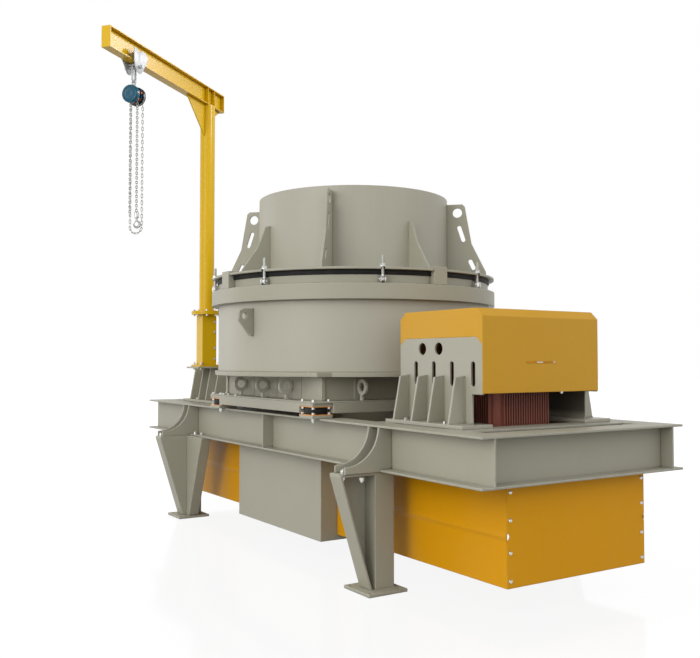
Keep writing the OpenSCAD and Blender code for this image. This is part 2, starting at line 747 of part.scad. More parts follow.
// Trolley, two side plates with wheels on the lower flange and a cross bar
module trolley() {
    in_y = boom_w / 2 + plate_gap;
    color(silver) on_boom() translate([trolley_r, 0, 0]) {
        for (s = [-1, 1]) mirror([0, s > 0 ? 0 : 1, 0]) {
            translate([0, in_y + 8, 0]) rotate([90, 0, 0]) linear_extrude(8) hull() {
                for (x = [-60, 60]) translate([x, 60]) circle(45, $fn = 32);
                for (x = [-45, 45]) translate([x, -35]) circle(30, $fn = 32);
            }
            for (x = [-55, 55]) translate([x, in_y, boom_tf + wheel_r + run]) rotate([90, 0, 0])
                cylinder(h = 34, r = wheel_r);
        }
        translate([0, 0, -bar_drop]) rotate([90, 0, 0]) cylinder(h = 2 * in_y, r = bar_r, center = true);
    }
}

// Hoist body hung under the trolley bar, its axle along the boom
module hoist() {
    bar_z = hoist_drop - bar_drop;
    color([0.15, 0.4, 0.5]) on_boom() translate([trolley_r, 0, -hoist_drop]) {
        rotate([0, 90, 0]) {
            translate([0, 0, 20]) cylinder(h = 54, r = hoist_r);
            translate([0, 0, -30]) cylinder(h = 50, r = sheave_r);
            translate([0, 0, -70]) cylinder(h = 40, r = hoist_r + 4);
        }
        translate([-30, -25, 52]) cube([50, 50, 40]);
        rotate([90, 0, 0]) translate([0, 0, -7]) linear_extrude(14) difference() {
            union() {
                translate([0, bar_z]) circle(28);
                translate([-12, 92]) square([24, bar_z - 92]);
            }
            translate([0, bar_z]) circle(bar_r + run);
        }
    }
}

// Load chain over its sheave, one strand to the hook and one loose end
module load_chain() {
    r = sheave_r + run + chain_r;
    color(silver) on_boom() translate([trolley_r - 5, 0, -hoist_drop]) {
        translate([0, r, -load_chain_l]) cylinder(h = load_chain_l, r = chain_r);
        translate([0, -r, -27 - load_chain_l]) cylinder(h = load_chain_l + 27, r = chain_r);
        rotate([0, 0, 90]) rotate([90, 0, 0]) rotate_extrude(angle = 180) translate([r, 0]) circle(chain_r);
    }
}
module hand_chain() {
    r = 59;
    top = sqrt((hoist_r + 4) * (hoist_r + 4) - (r + chain_r) * (r + chain_r));
    color(silver) on_boom() translate([trolley_r - 50, 0, -hoist_drop - hand_chain_l]) {
        for (s = [-1, 1]) difference() {
            translate([0, s * r, 0]) cylinder(h = hand_chain_l - top + 12, r = chain_r);
            translate([0, 0, hand_chain_l]) rotate([0, 90, 0]) cylinder(h = 60, r = hoist_r + 4 + run, center = true);
        }
        rotate([0, 0, 90]) rotate([90, 0, 0]) rotate([0, 0, 180]) rotate_extrude(angle = 180)
            translate([r, 0]) circle(chain_r);
    }
}
// Places a child at the lower end of the load chain
module at_hook() {
    on_boom() translate([trolley_r - 5, sheave_r + run + chain_r, -hoist_drop - load_chain_l]) children();
}
module hook_block() { color(silver) at_hook() translate([0, 0, -60]) cylinder(h = 60, r = 20); }
module load_hook() {
    color(silver) at_hook() translate([0, 0, -60 - run]) {
        translate([0, 0, -30]) cylinder(h = 30, r = 9);
        translate([0, 0, -58]) rotate([90, 0, 0]) rotate([0, 0, -160]) rotate_extrude(angle = 250) translate([30, 0]) circle(9);
    }
}

side_beam_near();
side_beam_far();
end_beam_drive();
end_beam_crane();
cross_beams();
brackets();
leg_near_drive();
leg_near_crane();
leg_far_drive();
leg_far_crane();
chute();
belt_guard_drive();
belt_guard_crane();
guard_end_drive();
guard_end_crane();
mount_plates();
mount_shims();
mount_rubbers();
sub_frame();
sub_deck();
chamber();
chamber_eyes();
drum_plate();
drum_shell();
drum_lugs();
drum_band();
top_ring();
lid_seal();
hopper_plate();
hopper();
hopper_gussets();
feed_funnel();
swing_bolts();
guide_blocks();
cradle_near_drive();
cradle_far_drive();
motor_base();
motor();
motor_hood();
cradle_near_crane();
cradle_far_crane();
pedestal_top();
crane_column();
jib_post();
jib_boom();
trolley();
hoist();
load_chain();
hand_chain();
hook_block();
load_hook();
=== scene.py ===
import json
import math
import bpy
import numpy as np
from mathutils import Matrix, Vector


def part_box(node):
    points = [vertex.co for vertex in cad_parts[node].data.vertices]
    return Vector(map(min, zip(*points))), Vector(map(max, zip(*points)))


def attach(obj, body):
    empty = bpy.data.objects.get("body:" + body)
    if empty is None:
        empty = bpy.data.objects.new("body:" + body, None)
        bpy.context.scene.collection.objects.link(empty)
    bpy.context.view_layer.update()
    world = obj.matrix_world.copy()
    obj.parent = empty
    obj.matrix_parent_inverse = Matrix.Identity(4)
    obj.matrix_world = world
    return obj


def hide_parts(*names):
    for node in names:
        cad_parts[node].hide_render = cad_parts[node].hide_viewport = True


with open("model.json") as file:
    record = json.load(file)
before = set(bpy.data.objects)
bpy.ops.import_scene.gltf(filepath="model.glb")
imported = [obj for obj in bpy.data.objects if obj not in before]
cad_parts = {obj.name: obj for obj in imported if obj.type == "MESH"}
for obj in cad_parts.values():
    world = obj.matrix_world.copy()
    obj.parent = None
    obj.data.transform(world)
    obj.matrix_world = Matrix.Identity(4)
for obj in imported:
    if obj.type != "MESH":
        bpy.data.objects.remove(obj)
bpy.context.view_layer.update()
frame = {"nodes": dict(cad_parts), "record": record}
print("solids loaded:", len(frame["nodes"]))

# heights and edges taken from the solids, in metres
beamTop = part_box("side_beam_near")[1].z
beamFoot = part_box("side_beam_near")[0].z
mountLow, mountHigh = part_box("mount_rubbers")[0].z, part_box("mount_rubbers")[1].z
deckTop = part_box("sub_deck")[1].z
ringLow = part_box("top_ring")[0].z
sealLow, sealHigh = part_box("lid_seal")[0].z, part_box("lid_seal")[1].z
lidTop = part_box("hopper_plate")[1].z
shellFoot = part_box("drum_shell")[0].z
bandLow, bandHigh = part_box("drum_band")[0].z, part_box("drum_band")[1].z
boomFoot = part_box("jib_boom")[1].z - 0.180
shellRadius = 1.166
hopperRadius = 0.821


# shapes: each one is points, quads and end caps

def quadGrid(rows, cols, closeRows=False, closeCols=True):
    # quads between neighbours of a rows x cols grid, wrapped round where a side is closed
    i = np.arange(rows if closeRows else rows - 1)
    j = np.arange(cols if closeCols else cols - 1)
    a, b = [m.ravel() for m in np.meshgrid(i, j, indexing="ij")]
    c, d = (a + 1) % rows, (b + 1) % cols
    return np.stack([a * cols + b, a * cols + d, c * cols + d, c * cols + b], 1)


def turned(profile, sides=48, loop=False, facet=None):
    # x = r(v) f(u) cos u, y = r(v) f(u) sin u, z = h(v); f is 1, or the flats of a nut
    profile = np.asarray(profile, float)
    u = np.arange(sides) * 2 * math.pi / sides
    f = np.ones((len(profile), sides)) if facet is None else facet(u, len(profile))
    r = profile[:, :1] * f
    z = np.repeat(profile[:, 1:2], sides, 1)
    points = np.stack([r * np.cos(u), r * np.sin(u), z], -1).reshape(-1, 3)
    n = len(profile)
    caps = [] if loop else [list(range(sides))[::-1], list(range((n - 1) * sides, n * sides))]
    return {"points": points, "quads": quadGrid(n, sides, closeRows=loop), "caps": caps}


def carried(path, section, up, scale=None, closed=False):
    # p(u) + s(u) (x(v) side(u) + y(v) up(u)), where side = up x the path's direction
    path = np.asarray(path, float)
    if closed:
        way = np.roll(path, -1, 0) - np.roll(path, 1, 0)
    else:
        way = np.gradient(path, axis=0)
    way = way / np.linalg.norm(way, axis=1, keepdims=True)
    up = np.broadcast_to(np.asarray(up, float), path.shape)
    up = up - (up * way).sum(1, keepdims=True) * way
    up = up / np.linalg.norm(up, axis=1, keepdims=True)
    side = np.cross(up, way)
    scale = np.ones(len(path)) if scale is None else np.asarray(scale, float)
    section = np.asarray(section, float)
    spread = section[None, :, :1] * side[:, None] + section[None, :, 1:] * up[:, None]
    points = (path[:, None] + scale[:, None, None] * spread).reshape(-1, 3)
    n, m = len(path), len(section)
    caps = [] if closed else [list(range(m))[::-1], list(range((n - 1) * m, n * m))]
    return {"points": points, "quads": quadGrid(n, m, closeRows=closed), "caps": caps}


def roundSection(radius, sides=8, squash=1.0):
    # a circle of points, flattened across by the squash
    v = np.arange(sides) * 2 * math.pi / sides
    return np.stack([radius * np.cos(v), radius * squash * np.sin(v)], 1)


def smoothCurve(knots, steps=6, closed=False):
    # Catmull-Rom through the knots: four neighbours weighted by cubics of t
    k = np.asarray(knots, float)
    if closed:
        a, b, c, d = [np.roll(k, n, 0) for n in (1, 0, -1, -2)]
    else:
        k = np.concatenate([2 * k[:1] - k[1:2], k, 2 * k[-1:] - k[-2:-1]])
        a, b, c, d = k[:-3], k[1:-2], k[2:-1], k[3:]
    t = (np.arange(steps) / steps)[None, :, None]
    a, b, c, d = [q[:, None] for q in (a, b, c, d)]
    curve = 0.5 * (2 * b + (c - a) * t + (2 * a - 5 * b + 4 * c - d) * t ** 2 + (3 * b - a - 3 * c + d) * t ** 3)
    curve = curve.reshape(-1, k.shape[1])
    return curve if closed else np.concatenate([curve, k[-2:-1]])


def slab(outline, thickness, edge):
    # the outline at four depths, pulled in by the edge radius at both faces, z from 0 to the thickness
    outline = np.asarray(outline, float)
    way = np.roll(outline, -1, 0) - np.roll(outline, 1, 0)
    inward = np.stack([-way[:, 1], way[:, 0]], 1)
    inward /= np.linalg.norm(inward, axis=1, keepdims=True)
    pull = np.array([edge, 0.3 * edge, 0, 0, 0.3 * edge, edge])
    depth = np.array([0, 0.3 * edge, edge, thickness - edge, thickness - 0.3 * edge, thickness])
    flat = outline[None] + pull[:, None, None] * inward[None]
    points = np.concatenate([flat, np.repeat(depth[:, None, None], len(outline), 1)], -1).reshape(-1, 3)
    n = len(outline)
    return {"points": points, "quads": quadGrid(6, n), "caps": [list(range(n))[::-1], list(range(5 * n, 6 * n))]}


def axesTo(axis, spin=0.0):
    # side, across and axis as columns, one 3 x 3 for each row, turned about the axis by the spin
    z = np.atleast_2d(np.asarray(axis, float))
    z = z / np.linalg.norm(z, axis=1, keepdims=True)
    guide = np.where(np.abs(z[:, 2:3]) > 0.9, np.array([[1.0, 0, 0]]), np.array([[0, 0, 1.0]]))
    x = np.cross(guide, z)
    x /= np.linalg.norm(x, axis=1, keepdims=True)
    y = np.cross(z, x)
    c, s = np.cos(spin), np.sin(spin)
    c, s = [np.broadcast_to(q, len(z))[:, None] for q in (c, s)]
    return np.stack([c * x + s * y, c * y - s * x, z], -1)


def stamped(shape, places, axes):
    # the shape's points times each 3 x 3 plus each place
    places = np.atleast_2d(np.asarray(places, float))
    axes = np.broadcast_to(axes, (len(places), 3, 3))
    points = np.einsum("nij,vj->nvi", axes, shape["points"]) + places[:, None]
    step = np.arange(len(places)) * len(shape["points"])
    quads = (shape["quads"][None] + step[:, None, None]).reshape(-1, 4)
    caps = [[k + s for k in cap] for s in step.tolist() for cap in shape["caps"]]
    return {"points": points.reshape(-1, 3), "quads": quads, "caps": caps}


def everyMix(xs, ys, zs):
    # each x with each y with each z, as rows
    return np.array(np.meshgrid(xs, ys, zs, indexing="ij")).reshape(3, -1).T


def around(radius, angles, z):
    # points on a circle at the given angles in degrees
    a = np.radians(np.asarray(angles, float))
    return np.stack([radius * np.cos(a), radius * np.sin(a), np.full(len(a), z)], 1)


# shader groups shared by the finishes

def startGroup(name, inputs, outputs):
    group = bpy.data.node_groups.new(name, "ShaderNodeTree")
    for label, kind, value in inputs:
        socket = group.interface.new_socket(label, in_out="INPUT", socket_type=kind)
        socket.default_value = value
    for label, kind in outputs:
        group.interface.new_socket(label, in_out="OUTPUT", socket_type=kind)
    return group, group.nodes.new("NodeGroupInput"), group.nodes.new("NodeGroupOutput")


def addNode(tree, kind, values=None, **settings):
    node = tree.nodes.new(kind)
    for key, value in settings.items():
        setattr(node, key, value)
    for key, value in (values or {}).items():
        node.inputs[key].default_value = value
    return node


def addMath(tree, operation, a, b=0.5, clamp=False):
    node = addNode(tree, "ShaderNodeMath", operation=operation, use_clamp=clamp)
    for socket, value in zip(node.inputs, (a, b)):
        if isinstance(value, (int, float)):
            socket.default_value = value
        else:
            tree.links.new(value, socket)
    return node.outputs[0]


def mixColor(tree, mask, a, b, blend="MIX"):
    node = addNode(tree, "ShaderNodeMix", data_type="RGBA", blend_type=blend)
    for socket, value in ((node.inputs[0], mask), (node.inputs[6], a), (node.inputs[7], b)):
        if isinstance(value, (int, float, tuple)):
            socket.default_value = value
        else:
            tree.links.new(value, socket)
    return node.outputs[2]


def remap(tree, value, low, high, toLow=0.0, toHigh=1.0):
    node = addNode(tree, "ShaderNodeMapRange", {1: low, 2: high, 3: toLow, 4: toHigh}, clamp=True)
    tree.links.new(value, node.inputs[0])
    return node.outputs[0]


def noiseAt(tree, coords, scale, detail=3.0, rough=0.5, squeeze=None):
    if squeeze:
        mapping = addNode(tree, "ShaderNodeMapping", {"Scale": squeeze})
        tree.links.new(coords, mapping.inputs[0])
        coords = mapping.outputs[0]
    node = addNode(tree, "ShaderNodeTexNoise", {"Detail": detail, "Roughness": rough})
    tree.links.new(coords, node.inputs["Vector"])
    if isinstance(scale, (int, float)):
        node.inputs["Scale"].default_value = scale
    else:
        tree.links.new(scale, node.inputs["Scale"])
    return node.outputs[0]


def makeCloudGroup():
    # soft light and dark patches over a sprayed coat, and the fine ripple of the spray
    group, given, out = startGroup(
        "sprayedCoat",
        [("Color", "NodeSocketColor", (0.5, 0.5, 0.5, 1)), ("Patches", "NodeSocketFloat", 0.05),
         ("Rough", "NodeSocketFloat", 0.4), ("RoughSpread", "NodeSocketFloat", 0.08)],
        [("Color", "NodeSocketColor"), ("Roughness", "NodeSocketFloat"), ("Height", "NodeSocketFloat")])
    coords = addNode(group, "ShaderNodeTexCoord").outputs["Object"]
    wide = noiseAt(group, coords, 1.7, 4.0)
    close = noiseAt(group, coords, 23.0, 5.0, 0.6)
    both = addMath(group, "ADD", addMath(group, "MULTIPLY", wide, 0.65), addMath(group, "MULTIPLY", close, 0.35))
    swing = addMath(group, "MULTIPLY", addMath(group, "SUBTRACT", both, 0.5), given.outputs["Patches"])
    value = addNode(group, "ShaderNodeHueSaturation", {"Hue": 0.5, "Saturation": 1.0, "Fac": 1.0})
    group.links.new(addMath(group, "ADD", addMath(group, "MULTIPLY", swing, 4.0), 1.0), value.inputs["Value"])
    group.links.new(given.outputs["Color"], value.inputs["Color"])
    group.links.new(value.outputs[0], out.inputs["Color"])
    spread = addMath(group, "MULTIPLY", addMath(group, "SUBTRACT", close, 0.5), given.outputs["RoughSpread"])
    group.links.new(addMath(group, "ADD", given.outputs["Rough"], addMath(group, "MULTIPLY", spread, 2.0)),
                    out.inputs["Roughness"])
    group.links.new(noiseAt(group, coords, 150.0, 2.0), out.inputs["Height"])
    return group


def makeEdgeGroup():
    # 1 where the surface turns a corner within the radius, broken up by noise, for edges lightened partly by wear and
    # partly as a painted highlight; and the rounded normal
    group, given, out = startGroup(
        "roundedEdge",
        [("Radius", "NodeSocketFloat", 0.004), ("Worn", "NodeSocketFloat", 0.5)],
        [("Mask", "NodeSocketFloat"), ("Normal", "NodeSocketVector")])
    bevel = addNode(group, "ShaderNodeBevel", samples=4)
    group.links.new(given.outputs["Radius"], bevel.inputs["Radius"])
    plain = addNode(group, "ShaderNodeNewGeometry").outputs["Normal"]
    dot = addNode(group, "ShaderNodeVectorMath", operation="DOT_PRODUCT")
    group.links.new(bevel.outputs[0], dot.inputs[0])
    group.links.new(plain, dot.inputs[1])
    corner = remap(group, addMath(group, "SUBTRACT", 1.0, dot.outputs["Value"]), 0.01, 0.14)
    coords = addNode(group, "ShaderNodeTexCoord").outputs["Object"]
    patchy = remap(group, noiseAt(group, coords, 9.0, 6.0, 0.65), 0.36, 0.58, 0.3, 1.0)
    edgeWearAndGleam = addMath(group, "MULTIPLY", addMath(group, "MULTIPLY", corner, patchy), given.outputs["Worn"])
    group.links.new(edgeWearAndGleam, out.inputs["Mask"])
    group.links.new(bevel.outputs[0], out.inputs["Normal"])
    return group


def makeDustGroup():
    # stone dust: on faces that look up, in patches, and in faint runs down the upright ones
    group, given, out = startGroup(
        "stoneDust",
        [("OnTop", "NodeSocketFloat", 0.4), ("Runs", "NodeSocketFloat", 0.15), ("NearFloor", "NodeSocketFloat", 0.2)],
        [("Mask", "NodeSocketFloat")])
    coords = addNode(group, "ShaderNodeTexCoord")
    normal = addNode(group, "ShaderNodeSeparateXYZ")
    group.links.new(coords.outputs["Normal"], normal.inputs[0])
    place = addNode(group, "ShaderNodeSeparateXYZ")
    group.links.new(coords.outputs["Object"], place.inputs[0])
    patches = remap(group, noiseAt(group, coords.outputs["Object"], 5.0, 6.0, 0.6), 0.35, 0.7)
    onTop = addMath(group, "MULTIPLY", remap(group, normal.outputs[2], 0.35, 0.95), patches)
    runs = remap(group, noiseAt(group, coords.outputs["Object"], 14.0, 4.0, 0.6, (1, 1, 0.07)), 0.52, 0.8)
    low = addMath(group, "MULTIPLY", remap(group, place.outputs[2], 0.7, 0.0), patches)
    total = addMath(group, "MULTIPLY", onTop, given.outputs["OnTop"])
    total = addMath(group, "ADD", total, addMath(group, "MULTIPLY", runs, given.outputs["Runs"]))
    total = addMath(group, "ADD", total, addMath(group, "MULTIPLY", low, given.outputs["NearFloor"]), clamp=True)
    group.links.new(total, out.inputs["Mask"])
    return group


def makeCornerShadeGroup():
    # painted shade: a dark line in inner corners and joints, where open sky is lost within the distance, with a ragged
    # edge
    group, given, out = startGroup("paintedCornerShade", [("Distance", "NodeSocketFloat", 0.03)],
                                   [("Mask", "NodeSocketFloat")])
    opening = addNode(group, "ShaderNodeAmbientOcclusion", samples=6)
    group.links.new(given.outputs["Distance"], opening.inputs["Distance"])
    coords = addNode(group, "ShaderNodeTexCoord").outputs["Object"]
    ragged = remap(group, noiseAt(group, coords, 7.0, 4.0, 0.6), 0.3, 0.7, 0.75, 1.0)
    closed = remap(group, opening.outputs["AO"], 0.72, 0.30)
    group.links.new(addMath(group, "MULTIPLY", closed, ragged), out.inputs["Mask"])
    return group


coatGroup, edgeGroup, dustGroup, cornerShadeGroup = makeCloudGroup(), makeEdgeGroup(), makeDustGroup(), makeCornerShadeGroup()


def placeGroup(tree, group, **values):
    node = addNode(tree, "ShaderNodeGroup", node_tree=group)
    for key, value in values.items():
        node.inputs[key].default_value = value
    return node


def fromScreen(red, green, blue):
    # screen values from 0 to 255 as the linear colour that a shader takes
    s = np.array([red, green, blue]) / 255
    linear = np.where(s <= 0.04045, s / 12.92, ((s + 0.055) / 1.055) ** 2.4)
    return (*linear.tolist(), 1.0)


dustColor = fromScreen(186, 180, 164)
# dark brown of the painted shade in inner corners and joints
cornerShadeColor = fromScreen(52, 44, 32)


def startFinish(name, **sockets):
    material = bpy.data.materials.new(name)
    material.use_nodes = True
    tree = material.node_tree
    tree.nodes.clear()
    shader = tree.nodes.new("ShaderNodeBsdfPrincipled")
    tree.links.new(shader.outputs[0], tree.nodes.new("ShaderNodeOutputMaterial").inputs[0])
    for key, value in sockets.items():
        shader.inputs[key.replace("_", " ")].default_value = value
    return material, tree, shader


def paintFinish(name, look):
    # sprayed coat, edges lightened partly by wear and partly as a painted highlight, stone dust, painted shade in inner
    # corners, and a fine ripple in the normal
    material, tree, shader = startFinish(name, Metallic=0.0, IOR=1.48, Specular_IOR_Level=look["shine"],
                                         Coat_Weight=look["coat"], Coat_Roughness=look["coatRough"])
    coat = placeGroup(tree, coatGroup, Color=look["color"], Patches=look["patches"], Rough=look["rough"],
                      RoughSpread=look["spread"])
    edge = placeGroup(tree, edgeGroup, Radius=look["edge"], Worn=look["edgeWearAndGleam"])
    dust = placeGroup(tree, dustGroup, OnTop=look["dust"], Runs=look["runs"], NearFloor=look["nearFloor"])
    cornerShade = placeGroup(tree, cornerShadeGroup, Distance=look["shadeReach"])
    # edges lightened: partly wear, partly a painted highlight along them
    color = mixColor(tree, edge.outputs["Mask"], coat.outputs["Color"], look["edgeWearAndGleamColor"])
    color = mixColor(tree, dust.outputs["Mask"], color, dustColor)
    # painted shade: inner corners and joints darkened towards the shade colour
    color = mixColor(tree, addMath(tree, "MULTIPLY", cornerShade.outputs["Mask"], look["cornerShade"]), color, cornerShadeColor)
    if look.get("bayShade"):
        # painted shade on the faces that look in at the motor, where the inside of the hood lies unlit
        place = addNode(tree, "ShaderNodeSeparateXYZ")
        tree.links.new(addNode(tree, "ShaderNodeTexCoord").outputs["Object"], place.inputs[0])
        inner = remap(tree, addMath(tree, "ABSOLUTE", place.outputs[1]), 0.509, 0.505)
        inner = addMath(tree, "MULTIPLY", inner, remap(tree, place.outputs[2], 1.10, 1.16))
        color = mixColor(tree, addMath(tree, "MULTIPLY", inner, look["bayShade"]), color, fromScreen(22, 16, 12))
    tree.links.new(color, shader.inputs["Base Color"])
    rough = addMath(tree, "ADD", coat.outputs["Roughness"], addMath(tree, "MULTIPLY", dust.outputs["Mask"], 0.35))
    tree.links.new(rough, shader.inputs["Roughness"])
    bump = addNode(tree, "ShaderNodeBump", {"Strength": look["ripple"], "Distance": 0.0004})
    tree.links.new(coat.outputs["Height"], bump.inputs["Height"])
    tree.links.new(edge.outputs["Normal"], bump.inputs["Normal"])
    tree.links.new(bump.outputs[0], shader.inputs["Normal"])
    return material


def metalFinish(name, look):
    # bare or plated metal: patchy roughness, slight darkening, fine grain
    material, tree, shader = startFinish(name, Metallic=look["metal"], IOR=1.5)
    coat = placeGroup(tree, coatGroup, Color=look["color"], Patches=look["patches"], Rough=look["rough"],
                      RoughSpread=look["spread"])
    dust = placeGroup(tree, dustGroup, OnTop=look["dust"], Runs=0.0, NearFloor=0.0)
    tree.links.new(mixColor(tree, dust.outputs["Mask"], coat.outputs["Color"], dustColor), shader.inputs["Base Color"])
    tree.links.new(coat.outputs["Roughness"], shader.inputs["Roughness"])
    bump = addNode(tree, "ShaderNodeBump", {"Strength": look["ripple"], "Distance": 0.0003})
    tree.links.new(coat.outputs["Height"], bump.inputs["Height"])
    tree.links.new(bump.outputs[0], shader.inputs["Normal"])
    return material


# each look also sets how strong the painted shade in inner corners is, and how light the edges are, partly from wear
# and partly as a painted highlight
plainPaint = {"coat": 0.0, "coatRough": 0.2, "patches": 0.03, "rough": 0.42, "spread": 0.05, "edge": 0.009,
              "edgeWearAndGleam": 0.7, "dust": 0.12, "runs": 0.03, "nearFloor": 0.04, "ripple": 0.06, "shine": 0.25,
              "cornerShade": 0.75, "shadeReach": 0.022}
greyPaint = {**plainPaint, "color": fromScreen(158, 155, 138), "edgeWearAndGleamColor": fromScreen(208, 206, 196)}
paintLooks = {
    "frame_paint": greyPaint,
    "guard_paint": {**plainPaint, "color": fromScreen(212, 148, 2), "edgeWearAndGleamColor": fromScreen(226, 178, 70),
                    "rough": 0.34, "dust": 0.05, "runs": 0.015, "nearFloor": 0.02, "shine": 0.12, "coat": 0.04},
    "crane_paint": {**plainPaint, "color": fromScreen(210, 168, 2), "edgeWearAndGleamColor": fromScreen(234, 200, 90),
                    "rough": 0.42, "dust": 0.03, "runs": 0.01, "shine": 0.12, "coat": 0.3, "coatRough": 0.22,
                    "edgeWearAndGleam": 0.15, "ripple": 0.0, "spread": 0.0, "edge": 0.003},
    "shim_paint": {**plainPaint, "color": fromScreen(238, 140, 14), "edgeWearAndGleamColor": fromScreen(240, 180, 90), "dust": 0.05},
    "motor_paint": {**plainPaint, "color": fromScreen(150, 86, 70), "edgeWearAndGleamColor": fromScreen(140, 96, 82),
                    "rough": 0.4, "dust": 0.1, "shine": 0.3},
    "hoist_paint": {**plainPaint, "color": fromScreen(0, 76, 98), "edgeWearAndGleamColor": fromScreen(60, 120, 140),
                    "rough": 0.3, "coat": 0.2, "shine": 0.25, "cornerShade": 0.3, "shadeReach": 0.006, "coatRough": 0.08, "edge": 0.002, "dust": 0.0, "runs": 0.0},
    "black_rubber": {**plainPaint, "color": fromScreen(24, 24, 25), "edgeWearAndGleamColor": fromScreen(58, 57, 55),
                     "rough": 0.6, "edgeWearAndGleam": 0.5, "dust": 0.1, "ripple": 0.3},
}
finishes = {slot: paintFinish(slot, look) for slot, look in paintLooks.items()}
steelLook = {"color": fromScreen(206, 206, 202), "metal": 0.8, "patches": 0.04, "rough": 0.3, "spread": 0.12,
             "dust": 0.04, "ripple": 0.15}
finishes["plated_steel"] = metalFinish("plated_steel", steelLook)
chainSteel = metalFinish("chain_steel", {**steelLook, "color": fromScreen(158, 158, 152), "rough": 0.34, "metal": 0.75})
brassSteel = metalFinish("brassed_steel", {**steelLook, "color": fromScreen(176, 92, 40), "rough": 0.3})
zincPlate = metalFinish("zinc_plate", {**steelLook, "color": fromScreen(182, 184, 186), "metal": 0.15, "rough": 0.42,
                                         "ripple": 0.02})
darkGloss = paintFinish("dark_gloss", {**paintLooks["hoist_paint"], "color": fromScreen(8, 20, 34), "coat": 1.0,
                                       "edgeWearAndGleamColor": fromScreen(40, 60, 76)})
weldFinish = paintFinish("welded_seam", {**paintLooks["frame_paint"], "color": fromScreen(150, 145, 124),
                                         "ripple": 0.5, "edge": 0.001})


def makeWornSteel():
    # the hopper's inside: paint scoured off by stone below a ragged line, bright steel with long scratches
    material, tree, shader = startFinish("scoured_steel", IOR=1.48)
    coords = addNode(tree, "ShaderNodeTexCoord").outputs["Object"]
    place = addNode(tree, "ShaderNodeSeparateXYZ")
    tree.links.new(coords, place.inputs[0])
    radius = addMath(tree, "POWER", addMath(tree, "ADD", addMath(tree, "MULTIPLY", place.outputs[0], place.outputs[0]),
                                            addMath(tree, "MULTIPLY", place.outputs[1], place.outputs[1])), 0.5)
    inside = addMath(tree, "LESS_THAN", radius, hopperRadius - 0.012)
    ragged = addMath(tree, "MULTIPLY", addMath(tree, "SUBTRACT", noiseAt(tree, coords, 3.0, 6.0, 0.65), 0.5), 0.5)
    height = addMath(tree, "ADD", place.outputs[2], ragged)
    scoured = addMath(tree, "MULTIPLY", inside, remap(tree, height, lidTop + 0.62, lidTop + 0.45))
    scratches = remap(tree, noiseAt(tree, coords, 30.0, 5.0, 0.7, (1, 1, 0.12)), 0.35, 0.7)
    # the paint above the scoured line: the frame's grey painted lighter, standing in for the light on the hopper
    coat = placeGroup(tree, coatGroup, **{"Color": fromScreen(163, 160, 144), "Patches": 0.035,
                                          "Rough": 0.46, "RoughSpread": 0.05})
    edge = placeGroup(tree, edgeGroup, Radius=0.004, Worn=0.3)
    dust = placeGroup(tree, dustGroup, OnTop=0.5, Runs=0.12, NearFloor=0.0)
    bare = mixColor(tree, scratches, fromScreen(116, 108, 98), fromScreen(172, 168, 160))
    color = mixColor(tree, scoured, coat.outputs["Color"], bare)
    color = mixColor(tree, dust.outputs["Mask"], color, dustColor)
    tree.links.new(color, shader.inputs["Base Color"])
    tree.links.new(addMath(tree, "MULTIPLY", scoured, 0.6), shader.inputs["Metallic"])
    rough = addMath(tree, "SUBTRACT", coat.outputs["Roughness"], addMath(tree, "MULTIPLY", scoured, 0.08))
    tree.links.new(rough, shader.inputs["Roughness"])
    bump = addNode(tree, "ShaderNodeBump", {"Strength": 0.2, "Distance": 0.0006})
    tree.links.new(scratches, bump.inputs["Height"])
    tree.links.new(edge.outputs["Normal"], bump.inputs["Normal"])
    tree.links.new(bump.outputs[0], shader.inputs["Normal"])
    return material


wornSteel = makeWornSteel()

for row in frame["record"]["subparts"]:
    node = frame["nodes"][row["node"]]
    node.data.materials.clear()
    node.data.materials.append(finishes[row["material_slot"]])
for name in ("hopper", "feed_funnel"):
    frame["nodes"][name].data.materials[0] = wornSteel
hoodLook = {**paintLooks["guard_paint"], "coat": 0.15, "coatRough": 0.3, "shine": 0.3, "ripple": 0.0,
            "color": fromScreen(198, 146, 10)}
frame["nodes"]["motor_hood"].data.materials[0] = paintFinish("hood_paint", hoodLook)
# the cradles' grey, with painted shade on their faces inside the motor hood
cradleLook = {**greyPaint, "coat": 0.6, "coatRough": 0.3, "shine": 0.4, "bayShade": 0.72}
for name in ("cradle_near_drive", "cradle_far_drive"):
    frame["nodes"][name].data.materials[0] = paintFinish(name + "_paint", cradleLook)
# drum shell: the frame's grey painted lighter, a painted highlight standing in for the broad light on the drum
litShellLook = {**greyPaint, "color": fromScreen(167, 163, 148), "coat": 0.1, "coatRough": 0.35}
frame["nodes"]["drum_shell"].data.materials[0] = paintFinish("shell_paint_lit", litShellLook)
# lifting eyes: the frame's grey painted lighter, with less painted corner shade, to offset the shade they sit in under
# the drum
litEyeLook = {**greyPaint, "color": fromScreen(186, 182, 168), "cornerShade": 0.2}
frame["nodes"]["chamber_eyes"].data.materials[0] = paintFinish("eye_paint_lit", litEyeLook)
print("finishes placed:", len(finishes) + 5)


def addPiece(name, shapes, slotName, body, finish=None, sharpAngle=38, standsFor=()):
    points, faces, start = [], [], 0
    for shape in shapes:
        points.append(shape["points"])
        faces += (shape["quads"] + start).tolist()
        faces += [[k + start for k in cap] for cap in shape["caps"]]
        start += len(shape["points"])
    mesh = bpy.data.meshes.new(name)
    mesh.from_pydata(np.concatenate(points).tolist(), [], faces)
    mesh.shade_smooth()
    mesh.set_sharp_from_angle(angle=math.radians(sharpAngle))
    mesh.update()
    piece = bpy.data.objects.new(name, mesh)
    bpy.context.scene.collection.objects.link(piece)
    mesh.materials.append(finish or finishes[slotName])
    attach(piece, body)
    if standsFor:
        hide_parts(*standsFor)
    return piece


# bolts and nuts

boltLook = {"flats": 0.024, "head": 0.014, "washer": 0.016, "washerThick": 0.004, "chamfer": 0.90}


